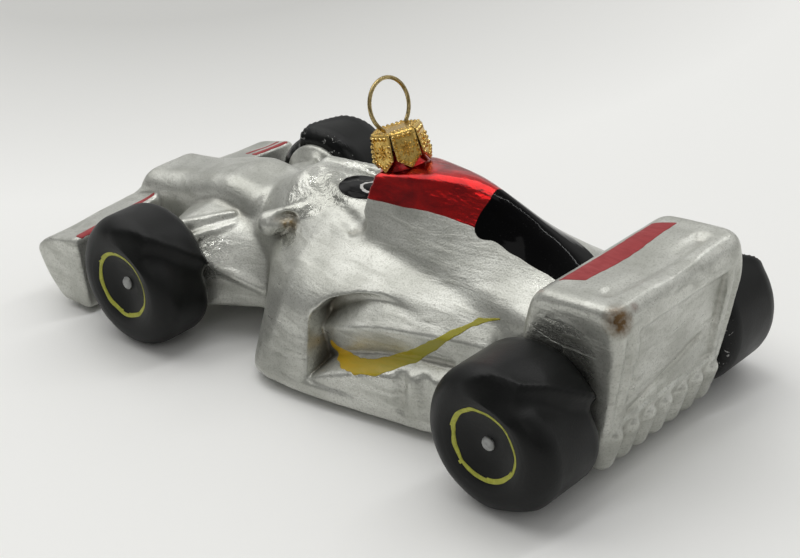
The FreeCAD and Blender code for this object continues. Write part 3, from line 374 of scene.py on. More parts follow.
@dataclass(frozen=True)
class Prism:
    """Side outline carried across the car, drooping and narrowing outwards.

    The outline is convex and goes anticlockwise seen with the nose on the left.
    """

    outline: tuple[Flat, ...]
    half: float
    edge: float
    droop: float = 0.0
    foot_half: float | None = None
    inner: float = 0.0

    def distance(self, x: Array, y: Array, z: Array) -> Array:
        """Distance from each place to the surface, negative inside.

        Args:
            x: Places across the car, shaped to broadcast.
            y: Places along the car.
            z: Heights.

        Returns:
            The distances on the grid that the three span.
        """
        across = np.abs(x)
        levels = [p[1] for p in self.outline]
        low, high = min(levels), max(levels)
        climb = np.clip((z - low) / (high - low), 0.0, 1.0)
        sag = self.droop * fade(across, self.half * 0.1, self.half) * climb
        level = z + sag
        result = None
        for (y0, z0), (y1, z1) in zip(self.outline, self.outline[1:] + self.outline[:1]):
            length = math.hypot(y1 - y0, z1 - z0)
            side = ((y - y0) * (z1 - z0) - (level - z0) * (y1 - y0)) / length
            result = side if result is None else smooth_max(result, side, self.edge)
        half = self.half
        if self.foot_half is not None:
            half = self.foot_half + (self.half - self.foot_half) * climb
        result = smooth_max(result, across - half, self.edge)
        if self.inner > 0.0:
            result = smooth_max(result, self.inner - across, self.edge)
        return result

    def reach(self) -> tuple[Array, Array]:
        """Lowest and highest corner of the box that holds the form.

        Returns:
            The two corners.
        """
        places = [p[0] for p in self.outline]
        levels = [p[1] for p in self.outline]
        low = np.array((0.0, min(places), min(levels)))
        return boxed(low, np.array((self.half, max(places), max(levels))), True)


Form = Ellipsoid | Capsule | Loft | Prism


class GlassField:
    """Signed distances of the whole bubble of glass on a regular grid."""

    def __init__(self, low: Point, high: Point, step: float) -> None:
        """Lay out an empty grid.

        Args:
            low: Lowest corner of the grid in millimetres.
            high: Highest corner of the grid.
            step: Distance between neighbouring grid points.
        """
        self.step = step
        self.axes = [np.arange(a, b + step, step) for a, b in zip(low, high)]
        shape = tuple(len(axis) for axis in self.axes)
        self.distance = np.full(shape, FAR, np.float32)
        self.owner = np.zeros(shape, np.int8)

    def _over(self, form: Form, blend: float) -> tuple[tuple[slice, ...], Array]:
        """Distances of a form over the part of the grid that it can change.

        Args:
            form: Form with distance and reach methods.
            blend: Width over which it melts into what is there.

        Returns:
            The part of the grid as slices, and the distances there.
        """
        margin = blend + 3 * self.step
        window = tuple(slice(*np.searchsorted(axis, (a - margin, b + margin)))
                       for axis, a, b in zip(self.axes, *form.reach()))
        x, y, z = (axis[part] for axis, part in zip(self.axes, window))
        here = form.distance(x[:, None, None], y[None, :, None], z[None, None, :])
        return window, here.astype(np.float32)

    def add(self, zone: Zone, form: Form, blend: float) -> None:
        """Melt a form onto the glass.

        Args:
            zone: Zone that the new surface belongs to.
            form: Form with distance and reach methods.
            blend: Width over which it melts into what is there.
        """
        window, here = self._over(form, blend)
        there = self.distance[window]
        self.owner[window] = np.where(here < there, list(Zone).index(zone), self.owner[window])
        self.distance[window] = smooth_min(there, here, blend)

    def carve(self, form: Form, blend: float) -> None:
        """Press a form into the glass, with a rounded lip."""
        window, here = self._over(form, blend)
        self.distance[window] = smooth_max(self.distance[window], -here, blend)

    def shelter(self, points: Array, reach: float) -> Array:
        """Share of glass in a box round each place: half on a flat face, more in a hollow.

        Args:
            points: Places in millimetres, one row each.
            reach: Half size of the box in millimetres.

        Returns:
            The share at each place, from 0 to 1.
        """
        count = int(round(reach / self.step))
        filled = (self.distance < 0).astype(np.float32)
        for axis in range(3):
            pad = [(count + 1, count) if n == axis else (0, 0) for n in range(3)]
            total = np.cumsum(np.pad(filled, pad), axis=axis, dtype=np.float32)
            ahead = [slice(2 * count + 1, None) if n == axis else slice(None) for n in range(3)]
            behind = [slice(None, -2 * count - 1) if n == axis else slice(None)
                      for n in range(3)]
            filled = (total[tuple(ahead)] - total[tuple(behind)]) / (2 * count + 1)
        origin = np.array([axis[0] for axis in self.axes])
        cells = np.rint((points - origin) / self.step).astype(np.int64)
        cells = np.clip(cells, 0, np.array(filled.shape) - 1)
        return filled[tuple(cells.T)].astype(float)

    def surface(self) -> tuple[Array, Array, Array]:
        """Mesh the zero level with one vertex in each cell that it crosses.

        Returns:
            The points in millimetres, the quads and the zone number at each point.
        """
        d = self.distance
        inside = d < 0
        cells = np.zeros(tuple(n - 1 for n in d.shape), np.int8)
        corners = [(i, j, k) for i in (0, 1) for j in (0, 1) for k in (0, 1)]
        for i, j, k in corners:
            cells += inside[i:d.shape[0] - 1 + i, j:d.shape[1] - 1 + j, k:d.shape[2] - 1 + k]
        active = np.argwhere((cells > 0) & (cells < 8))
        index = np.full(cells.shape, -1, np.int64)
        index[tuple(active.T)] = np.arange(len(active))
        total = np.zeros((len(active), 3))
        count = np.zeros(len(active))
        for first in corners:
            for axis in range(3):
                if first[axis]:
                    continue
                second = tuple(1 if n == axis else first[n] for n in range(3))
                a = d[tuple((active + first).T)].astype(float)
                b = d[tuple((active + second).T)].astype(float)
                crossed = (a < 0) != (b < 0)
                share = np.where(crossed, a / np.where(crossed, a - b, 1.0), 0.0)
                spot = np.array(first) + np.outer(share, np.eye(3)[axis])
                total[crossed] += spot[crossed]
                count[crossed] += 1
        origin = np.array([axis[0] for axis in self.axes])
        points = origin + (active + total / count[:, None]) * self.step
        quads = []
        for axis in range(3):
            u, v = (axis + 1) % 3, (axis + 2) % 3
            low = [slice(None)] * 3
            high = [slice(None)] * 3
            low[axis], high[axis] = slice(None, -1), slice(1, None)
            entering = inside[tuple(low)].astype(np.int8) - inside[tuple(high)]
            at = np.argwhere(entering != 0)
            at = at[(at[:, u] > 0) & (at[:, v] > 0)]
            at = at[(at[:, u] < cells.shape[u]) & (at[:, v] < cells.shape[v])]
            ring = []
            for du, dv in ((1, 1), (0, 1), (0, 0), (1, 0)):
                cell = at.copy()
                cell[:, u] -= du
                cell[:, v] -= dv
                ring.append(index[tuple(cell.T)])
            ring = np.stack(ring, axis=1)
            leaving = entering[tuple(at.T)] < 0
            ring[leaving] = ring[leaving][:, ::-1]
            quads.append(ring)
        return points, np.concatenate(quads), self.owner[tuple(active.T)]


class Surface:
    """Mesh held as plain arrays, which can be cut along a curve and parted."""

    def __init__(self, points: Array, faces: Array) -> None:
        """Take over points and faces with the same number of corners each.

        Args:
            points: Places in millimetres, one row each.
            faces: Indices of the corners, one row for each face.
        """
        self.points = points
        self.loops = faces.reshape(-1).astype(np.int64)
        self.sizes = np.full(len(faces), faces.shape[1], np.int64)

    @property
    def starts(self) -> Array:
        """Index of the first corner of each face."""
        return np.concatenate([[0], np.cumsum(self.sizes)[:-1]])

    def edges(self) -> Array:
        """Both corners of every face side, in the order of the loops.

        Returns:
            The two indices of each side.
        """
        following = np.arange(len(self.loops)) + 1
        following[self.starts + self.sizes - 1] = self.starts
        return np.stack([self.loops, self.loops[following]], axis=1)

    def face_mean(self, values: Array) -> Array:
        """Mean over each face's corners of a value or a row at each point."""
        total = np.add.reduceat(values[self.loops], self.starts, axis=0)
        return (total.T / self.sizes).T

    def normals(self) -> Array:
        """Unit normal at each point, weighted by the area of the faces round it.

        Returns:
            The unit normals, one row each.
        """
        edges = self.edges()
        crosses = np.cross(self.points[edges[:, 0]], self.points[edges[:, 1]])
        area = np.add.reduceat(crosses, self.starts, axis=0)
        owner = np.repeat(np.arange(len(self.sizes)), self.sizes)
        total = np.zeros_like(self.points)
        for axis in range(3):
            total[:, axis] = np.bincount(self.loops, area[owner, axis], len(self.points))
        return total / np.maximum(np.linalg.norm(total, axis=1, keepdims=True), 1e-9)

    def averaged(self, values: Array, rounds: int) -> Array:
        """Values averaged with their neighbours along the edges, a number of times.

        Args:
            values: A value or a row at each point.
            rounds: Number of times.

        Returns:
            The averaged values.
        """
        here, beside = self.edges().T
        degree = np.maximum(np.bincount(here, minlength=len(self.points)), 1)
        columns = values.reshape(len(values), -1).astype(float)
        for _ in range(rounds):
            total = np.stack([np.bincount(here, column[beside], len(self.points))
                              for column in columns.T], axis=1)
            columns = 0.5 * columns + 0.5 * total / degree[:, None]
        return columns.reshape(values.shape)

    def hollowness(self, rounds: int) -> Array:
        """How far each point lies below the mean of its surroundings."""
        drift = self.averaged(self.points, rounds) - self.points
        return np.einsum("ij,ij->i", drift, self.normals())

    def cut(self, region: Region, zones: Array | None = None) -> Array | None:
        """Split every face that the region's edge crosses.

        Args:
            region: Gives a value at each point, negative inside the region.
            zones: A number at each point, carried on to the new points.

        Returns:
            The zones with the new points added, or None.
        """
        value = region(self.points)
        value = np.where(np.abs(value) < 1e-3, 1e-3, value)
        below = (value[self.loops] < 0).astype(np.int64)
        count = np.add.reduceat(below, self.starts)
        mixed = (count > 0) & (count < self.sizes)
        made: dict[tuple[int, int], int] = {}
        extra: list[Array] = []
        extra_zones: list[int] = []
        new_loops: list[int] = []
        new_sizes: list[int] = []
        starts = self.starts
        for face in np.nonzero(mixed)[0]:
            ring = self.loops[starts[face]:starts[face] + self.sizes[face]]
            parts: dict[bool, list[int]] = {True: [], False: []}
            for a, b in zip(ring, np.roll(ring, -1)):
                parts[bool(value[a] < 0)].append(int(a))
                if (value[a] < 0) == (value[b] < 0):
                    continue
                key = (min(a, b), max(a, b))
                if key not in made:
                    share = value[a] / (value[a] - value[b])
                    made[key] = len(self.points) + len(extra)
                    extra.append(self.points[a] * (1 - share) + self.points[b] * share)
                    extra_zones.append(0 if zones is None else int(zones[a]))
                parts[True].append(made[key])
                parts[False].append(made[key])
            for part in parts.values():
                if len(part) > 2:
                    new_loops.extend(part)
                    new_sizes.append(len(part))
        keep = np.repeat(~mixed, self.sizes)
        self.loops = np.concatenate([self.loops[keep], np.array(new_loops, np.int64)])
        self.sizes = np.concatenate([self.sizes[~mixed], np.array(new_sizes, np.int64)])
        if extra:
            self.points = np.concatenate([self.points, np.array(extra)])
        if zones is None:
            return None
        return np.concatenate([zones, np.array(extra_zones, zones.dtype)])

    def inside(self, region: Region) -> Array:
        """True for each face whose middle lies in the region."""
        return region(self.face_mean(self.points)) < 0

    def part(self, chosen: Array) -> tuple["Surface", Array]:
        """The chosen faces as a surface of their own.

        Args:
            chosen: True for each face to keep.

        Returns:
            The new surface and, for each of its points, the old point's index.
        """
        loops = self.loops[np.repeat(chosen, self.sizes)]
        used, remapped = np.unique(loops, return_inverse=True)
        piece = Surface.__new__(Surface)
        piece.points = self.points[used]
        piece.loops = remapped.reshape(-1)
        piece.sizes = self.sizes[chosen]
        return piece, used

    def coat(self, chosen: Array, normals: Array, lift: float, sink: float) -> "Surface":
        """Thin closed layer over the chosen faces, such as a stroke of paint.

        Args:
            chosen: True for each face under the layer.
            normals: Normal at each point of this surface.
            lift: Height of the layer's top above the surface.
            sink: Depth of the layer's underside below the surface.

        Returns:
            The closed layer.
        """
        piece, used = self.part(chosen)
        count = len(piece.points)
        outward = normals[used]
        edges = piece.edges()
        keys = set(map(tuple, edges.tolist()))
        rim = [(a, b) for a, b in edges.tolist() if (b, a) not in keys]
        walls = np.array([(a + count, b + count, b, a) for a, b in rim], np.int64)
        reversed_loops = piece.loops.copy()
        for start, size in zip(piece.starts, piece.sizes):
            reversed_loops[start:start + size] = piece.loops[start:start + size][::-1]
        layer = Surface.__new__(Surface)
        layer.points = np.concatenate([piece.points + outward * lift,
                                       piece.points - outward * sink])
        layer.loops = np.concatenate([piece.loops, reversed_loops + count, walls.reshape(-1)])
        layer.sizes = np.concatenate([piece.sizes, piece.sizes, np.full(len(rim), 4)])
        return layer

    def build(self, name: str, material: bpy.types.Material,
              normals: Array | None = None,
              layers: dict[str, Array] | None = None) -> bpy.types.Object:
        """Make the Blender object of this surface.

        Args:
            name: Name of the piece.
            material: Finish of the piece.
            normals: Normal at each point, where it differs from the mesh's own.
            layers: Values at the points that the material reads by name.

        Returns:
            The object, in metres and linked to the scene.
        """
        mesh = bpy.data.meshes.new(name)
        mesh.vertices.add(len(self.points))
        mesh.vertices.foreach_set("co", (self.points * MM).astype(np.float32).reshape(-1))
        mesh.loops.add(len(self.loops))
        mesh.loops.foreach_set("vertex_index", self.loops.astype(np.int32))
        mesh.polygons.add(len(self.sizes))
        mesh.polygons.foreach_set("loop_start", self.starts.astype(np.int32))
        mesh.update(calc_edges=True)
        mesh.validate()
        mesh.shade_smooth()
        for key, values in (layers or {}).items():
            layer = mesh.attributes.new(key, "FLOAT", "POINT")
            layer.data.foreach_set("value", values.astype(np.float32))
        if normals is not None:
            mesh.normals_split_custom_set_from_vertices(normals.tolist())
        mesh.materials.append(material)
        piece = bpy.data.objects.new(name, mesh)
        bpy.context.scene.collection.objects.link(piece)
        return piece


# Finishes


class Finish:
    """Material under construction, with short calls for its nodes."""

    def __init__(self, name: str) -> None:
        """Start a node material that holds one Principled shader.

        Args:
            name: Name of the material.
        """
        self.material = bpy.data.materials.new(name)
        self.material.use_nodes = True
        self.nodes = self.material.node_tree.nodes
        self.shader = self.nodes["Principled BSDF"]
        self.place = self.node("ShaderNodeTexCoord").outputs["Object"]

    def node(self, kind: str, **inputs: object) -> bpy.types.Node:
        """Add a node; each input is a number, a colour or a socket to link from.

        Args:
            kind: Blender's name for the node's type.
            inputs: Values by input name, with _ for a space.

        Returns:
            The node.
        """
        made = self.nodes.new(kind)
        for key, value in inputs.items():
            self.set(made.inputs[key.replace("_", " ")], value)
        return made

    def set(self, socket: bpy.types.NodeSocket, value: object) -> None:
        """Link a socket to another or give it a fixed value.

        Args:
            socket: Input to set.
            value: A socket, number or colour.
        """
        if isinstance(value, bpy.types.NodeSocket):
            self.material.node_tree.links.new(value, socket)
        elif isinstance(value, tuple) and len(value) == 3 and socket.type == "RGBA":
            socket.default_value = (*value, 1.0)
        else:
            socket.default_value = value

    def shade(self, **inputs: object) -> None:
        """Set inputs of the Principled shader."""
        for key, value in inputs.items():
            self.set(self.shader.inputs[key.replace("_", " ")], value)

    def grain(self, size: float, detail: float = 3.0, stretch: Point = (1, 1, 1),
              twist: float = 0.0) -> bpy.types.NodeSocket:
        """Noise whose features have a size in millimetres, stretched along the axes.

        Args:
            size: Size of a feature.
            detail: Number of finer octaves.
            stretch: Scale along each axis, below 1 for longer features.
            twist: How far the noise folds over itself.

        Returns:
            The output socket.
        """
        moved = self.node("ShaderNodeMapping", Vector=self.place)
        moved.inputs["Scale"].default_value = stretch
        made = self.node("ShaderNodeTexNoise", Vector=moved.outputs["Vector"],
                         Scale=1 / (size * MM), Detail=detail, Distortion=twist)
        return made.outputs["Fac"]

    def span(self, factor: bpy.types.NodeSocket, low: float, high: float,
             to_low: float, to_high: float) -> bpy.types.NodeSocket:
        """Map a factor's range onto another range, clamped.

        Args:
            factor: Socket to map.
            low: Start of its range.
            high: End of its range.
            to_low: Result at the start.
            to_high: Result at the end.

        Returns:
            The output socket.
        """
        made = self.node("ShaderNodeMapRange", Value=factor)
        for key, value in (("From Min", low), ("From Max", high),
                           ("To Min", to_low), ("To Max", to_high)):
            made.inputs[key].default_value = value
        return made.outputs["Result"]

    def mix(self, factor: object, first: object, second: object) -> bpy.types.NodeSocket:
        """Mix two colours by a factor.

        Args:
            factor: Share of the second.
            first: Colour or socket.
            second: Colour or socket.

        Returns:
            The output socket.
        """
        made = self.nodes.new("ShaderNodeMix")
        made.data_type = "RGBA"
        self.set(made.inputs["Factor"], factor)
        self.set(made.inputs[6], first)
        self.set(made.inputs[7], second)
        return made.outputs[2]

    def math(self, operation: str, first: object, second: object) -> bpy.types.NodeSocket:
        """Combine two numbers.

        Args:
            operation: Blender's name for it.
            first: Number or socket.
            second: Number or socket.

        Returns:
            The output socket.
        """
        made = self.nodes.new("ShaderNodeMath")
        made.operation = operation
        self.set(made.inputs[0], first)
        self.set(made.inputs[1], second)
        return made.outputs["Value"]

    def layer(self, name: str) -> bpy.types.NodeSocket:
        """Value that the mesh carries at its points.

        Args:
            name: Name of the value.

        Returns:
            The output socket.
        """
        made = self.nodes.new("ShaderNodeAttribute")
        made.attribute_name = name
        return made.outputs["Fac"]

    def near(self, spot: Point, radius: float) -> bpy.types.NodeSocket:
        """1 at a spot in millimetres that fades to 0 at a radius from it.

        Args:
            spot: The place.
            radius: Radius in millimetres.

        Returns:
            The output socket.
        """
        made = self.node("ShaderNodeVectorMath", Vector=self.place)
        made.operation = "DISTANCE"
        made.inputs[1].default_value = tuple(c * MM for c in spot)
        return self.span(made.outputs["Value"], 0.0, radius * MM, 1.0, 0.0)

    def bump(self, height: bpy.types.NodeSocket, depth: float,
             under: bpy.types.NodeSocket | None = None) -> bpy.types.NodeSocket:
        """Bumped normal; depth is the height of a full step in millimetres.

        Args:
            height: Socket with the height.
            depth: Height of a full step.
            under: Normal that it adds to.

        Returns:
            The output socket.
        """
        made = self.node("ShaderNodeBump", Height=height, Distance=depth * MM, Strength=1.0)
        if under is not None:
            self.set(made.inputs["Normal"], under)
        return made.outputs["Normal"]


@dataclass(frozen=True)
class SilveredGlass:
    """Matt silvering, frosted and mottled, brighter and smoother where creased, with painted shade
    in hollows.
    """

    pale: Point = (0.62, 0.625, 0.58)
    dull: Point = (0.41, 0.415, 0.375)
    fleck: Point = (0.27, 0.27, 0.235)
    # Painted shade: dark brown-grey laid in hollows and sheltered places, with some tarnish in it.
    hollow: Point = (0.145, 0.13, 0.10)
    stains: tuple[tuple[Point, float, Point], ...] = (
        ((16.8, 67.4, 33.6), 3.2, (0.13, 0.075, 0.03)),
        ((12.9, 68.4, 35.2), 1.7, (0.14, 0.045, 0.03)),
        ((12.2, -12.2, 26.0), 2.4, (0.17, 0.125, 0.06)))

    def make(self) -> bpy.types.Material:
        """Build the node material.

        Returns:
            The material, which reads how hollow and how creased each place is.
        """
        finish = Finish("silvered_glass")
        cloud = finish.grain(9.0, 4.0)
        speck = finish.grain(0.34, 2.5)
        coarse = finish.grain(0.9, 3.0)
        streak = finish.grain(2.4, 5.0, (0.5, 0.22, 1.3), 0.5)
        patch = finish.mix(finish.span(cloud, 0.40, 0.66, 0.0, 0.8), self.pale, self.dull)
        patch = finish.mix(finish.span(streak, 0.48, 0.70, 0.0, 0.85), patch, self.dull)
        patch = finish.mix(finish.span(speck, 0.50, 0.72, 0.0, 0.55), patch, self.fleck)
        patch = finish.mix(finish.span(coarse, 0.58, 0.76, 0.0, 0.35), patch, self.fleck)
        # Painted shade: the silver darkens to the hollow colour in hollows and in places that
        # other glass shelters.
        hollow = finish.span(finish.layer("hollow"), 0.08, 0.70, 0.0, 0.92)
        patch = finish.mix(hollow, patch, self.hollow)
        for spot, radius, colour in self.stains:
            stain = finish.math("MULTIPLY", finish.near(spot, radius),
                                finish.span(coarse, 0.35, 0.65, 1.0, 1.8))
            patch = finish.mix(stain, patch, colour)
        rough = finish.span(streak, 0.3, 0.7, 0.27, 0.42)
        mirror = finish.span(finish.layer("crease"), 0.2, 0.8, 0.0, 1.0)
        rough = finish.math("SUBTRACT", rough, finish.math("MULTIPLY", mirror, 0.24))
        rough = finish.math("MAXIMUM", rough, 0.10)
        normal = finish.bump(speck, 0.045)
        normal = finish.bump(streak, 0.16, normal)
        normal = finish.bump(finish.math("MULTIPLY", coarse, mirror), 0.42, normal)
        metal = finish.span(mirror, 0.0, 1.0, 0.64, 1.0)
        finish.shade(Base_Color=patch, Roughness=rough, Normal=normal, Metallic=metal)
        finish.shade(Specular_IOR_Level=0.5)
        return finish.material


@dataclass(frozen=True)
class CandyLacquer:
    """Transparent red lacquer over the silvering, with shade painted deep red in hollows and
    sheltered places.
    """

    bright: Point = (0.62, 0.010, 0.010)
    deep: Point = (0.17, 0.002, 0.005)

    def make(self) -> bpy.types.Material:
        """Build the node material.

        Returns:
            The material, which reads how hollow each place is.
        """
        finish = Finish("red_lacquer")
        cloud = finish.grain(3.4, 4.0, (1.0, 0.5, 1.0), 0.8)
        colour = finish.mix(finish.span(cloud, 0.36, 0.7, 0.0, 0.8), self.bright, self.deep)
        # Painted shade: deep red in hollows and in places that other glass shelters.
        edge = finish.span(finish.layer("hollow"), 0.05, 0.5, 0.0, 0.9)
        colour = finish.mix(edge, colour, self.deep)
        speck = finish.grain(0.6, 2.0)
        rough = finish.span(cloud, 0.3, 0.7, 0.15, 0.27)
        normal = finish.bump(finish.grain(2.8, 3.0, (1.0, 0.4, 1.0)), 0.34)
        normal = finish.bump(speck, 0.03, normal)
        finish.shade(Base_Color=colour, Roughness=rough, Normal=normal)
        finish.shade(Metallic=0.92, Coat_Weight=0.5, Coat_Roughness=0.05)
        return finish.material


@dataclass(frozen=True)
class BlackLacquer:
    """Thick gloss black, with soft ripples left by the brush."""

    name: str = "black_lacquer"
    colour: Point = (0.0015, 0.0015, 0.0017)
    gloss: float = 0.07

    def make(self) -> bpy.types.Material:
        """Build the node material.

        Returns:
            The material.
        """
        finish = Finish(self.name)
        ripple = finish.grain(4.0, 2.0, (1.0, 0.4, 1.0))
        dust = finish.grain(0.25, 1.0)
        grey = finish.mix(finish.span(dust, 0.70, 0.8, 0.0, 0.06), self.colour, (0.2, 0.2, 0.2))
        rough = finish.span(dust, 0.5, 0.85, self.gloss, self.gloss + 0.12)
        finish.shade(Base_Color=grey, Roughness=rough, Normal=finish.bump(ripple, 0.12))
        finish.shade(Specular_IOR_Level=0.06)
        return finish.material


@dataclass(frozen=True)
class TyreBlack:
    """Satin black paint on glass: soft sheen, dull dust and a glossy inner edge."""

    dark: Point = (0.0030, 0.0034, 0.0033)
    dusty: Point = (0.0072, 0.0078, 0.0076)
    chip: Point = (0.34, 0.34, 0.33)

    def make(self) -> bpy.types.Material:
        """Build the node material.

        Returns:
            The material, which reads where the paint has stayed wet and where it chipped.
        """
        finish = Finish("tyre_black")
        cloud = finish.grain(6.0, 4.0)
        speck = finish.grain(0.3, 2.0)
        colour = finish.mix(finish.span(cloud, 0.35, 0.7, 0.0, 1.0), self.dark, self.dusty)
        colour = finish.mix(finish.span(speck, 0.5, 0.8, 0.0, 0.5), colour, self.dusty)
        wet = finish.layer("wet")
        chips = finish.span(finish.grain(1.1, 4.0, (1.0, 1.0, 1.0), 1.2), 0.65, 0.69, 0.0, 1.0)
        chips = finish.math("MULTIPLY", chips, finish.span(wet, 0.5, 1.0, 0.0, 1.0))
        colour = finish.mix(chips, colour, self.chip)
        rough = finish.span(cloud, 0.3, 0.7, 0.36, 0.50)
        rough = finish.math("SUBTRACT", rough, finish.math("MULTIPLY", wet, 0.26))
        normal = finish.bump(speck, 0.03)
        finish.shade(Base_Color=colour, Roughness=rough, Normal=normal)
        finish.shade(Specular_IOR_Level=0.22)
        return finish.material


@dataclass(frozen=True)
class BrushPaint:
    """Opaque enamel laid on with a brush, streaked along the stroke."""

    name: str
    colour: Point
    other: Point
    streak: Point = (1.0, 1.0, 1.0)
    blend: tuple[float, float] | None = None
    gloss: float = 0.38

    def make(self) -> bpy.types.Material:
        """Build the node material.

        Returns:
            The material; with a blend the second colour takes over along the car.
        """
        finish = Finish(self.name)
        lines = finish.grain(0.9, 4.0, self.streak, 0.4)
        share = finish.span(lines, 0.35, 0.7, 0.0, 0.7)
        if self.blend is not None:
            along = finish.node("ShaderNodeSeparateXYZ", Vector=finish.place).outputs["Y"]
            drift = finish.span(along, self.blend[0] * MM, self.blend[1] * MM, 0.0, 1.0)
            share = finish.math("ADD", finish.math("MULTIPLY", share, 0.35), drift)
        colour = finish.mix(share, self.colour, self.other)
        rough = finish.span(lines, 0.3, 0.7, self.gloss, self.gloss + 0.15)
        finish.shade(Base_Color=colour, Roughness=rough, Normal=finish.bump(lines, 0.05))
        finish.shade(Specular_IOR_Level=0.4)
        return finish.material


@dataclass(frozen=True)
class StampedMetal:
    """Thin plated metal with fine dimples, with shade painted dark in its low places."""

    name: str
    bright: Point
    worn: Point
    rough: float
    dimple: float

    def make(self) -> bpy.types.Material:
        """Build the node material.

        Returns:
            The material, darkened where the metal lies low.
        """
        finish = Finish(self.name)
        wear = finish.grain(0.8, 4.0)
        dimple = finish.grain(0.3, 2.0)
        colour = finish.mix(finish.span(wear, 0.38, 0.7, 0.0, 0.8), self.bright, self.worn)
        # Painted shade: the low places of the dimples turn dark.
        low = finish.span(dimple, 0.30, 0.48, 0.7, 0.0)
        dark = tuple(channel * 0.35 for channel in self.worn)
        colour = finish.mix(low, colour, dark)
        rough = finish.span(wear, 0.3, 0.7, self.rough, self.rough + 0.16)
        finish.shade(Base_Color=colour, Roughness=rough,
                     Normal=finish.bump(dimple, self.dimple))
        finish.shade(Metallic=1.0)
        return finish.material


@dataclass(frozen=True)
class PaleTable:
    """Smooth pale board that the ornament stands on, with shade painted greyer far behind it."""

    near: Point = (0.90, 0.90, 0.885)
    far: Point = (0.58, 0.58, 0.565)
    behind: Point = (-160.0, -240.0, 0.0)

    def make(self) -> bpy.types.Material:
        """Build the node material.

        Returns:
            The material.
        """
        finish = Finish("pale_table")
        cloud = finish.grain(160.0, 2.0)
        tone = finish.mix(finish.span(cloud, 0.35, 0.65, 0.0, 0.04), self.near, self.far)
        # Painted shade: the board turns to the far grey towards a spot far behind the car.
        shade = finish.math("MULTIPLY", finish.near(self.behind, 212.0), 1.7)
        colour = finish.mix(finish.math("MINIMUM", shade, 1.0), tone, self.far)
        finish.shade(Base_Color=colour, Normal=finish.bump(finish.grain(0.5, 2.0), 0.01))
        finish.shade(Roughness=0.62)
        return finish.material


class Finishes:
    """All finishes of the ornament, made once and shared by its pieces."""

    def __init__(self) -> None:
        """Make every material."""
        self.silver = SilveredGlass().make()
        self.red = CandyLacquer().make()
        self.black = BlackLacquer().make()
        self.tyre = TyreBlack().make()
        self.stripe = BrushPaint("red_enamel", (0.33, 0.014, 0.018), (0.24, 0.009, 0.012),
                                 (1.0, 0.3, 1.0)).make()
        self.swoosh = BrushPaint("yellow_enamel", (0.60, 0.36, 0.012), (0.33, 0.30, 0.022),
                                 (1.0, 0.25, 1.3), (8.0, 30.0), 0.30).make()
        # Pale paint for the stroke on the black cockpit oval: a painted reflection of the room.
        self.line = BrushPaint("white_line", (0.62, 0.62, 0.60), (0.40, 0.40, 0.39)).make()
        self.ring = BrushPaint("lime_enamel", (0.46, 0.47, 0.060), (0.30, 0.31, 0.035)).make()
        self.hub = BrushPaint("hub_silver", (0.42, 0.43, 0.42), (0.25, 0.25, 0.25)).make()
        # Painted highlight: the beads are the same metal as the sheet, painted a brighter gold as
        # if they catch the light.
        self.gold = StampedMetal("gold_beads", (1.0, 0.77, 0.32), (0.78, 0.52, 0.15),
                                 0.16, 0.02).make()
        self.old_gold = StampedMetal("gold_cap", (0.80, 0.55, 0.17), (0.50, 0.31, 0.07),
                                     0.22, 0.05).make()
        self.brass = StampedMetal("brass_wire", (0.46, 0.36, 0.17), (0.26, 0.19, 0.075),
                                  0.18, 0.01).make()
        self.table = PaleTable().make()


# The glass


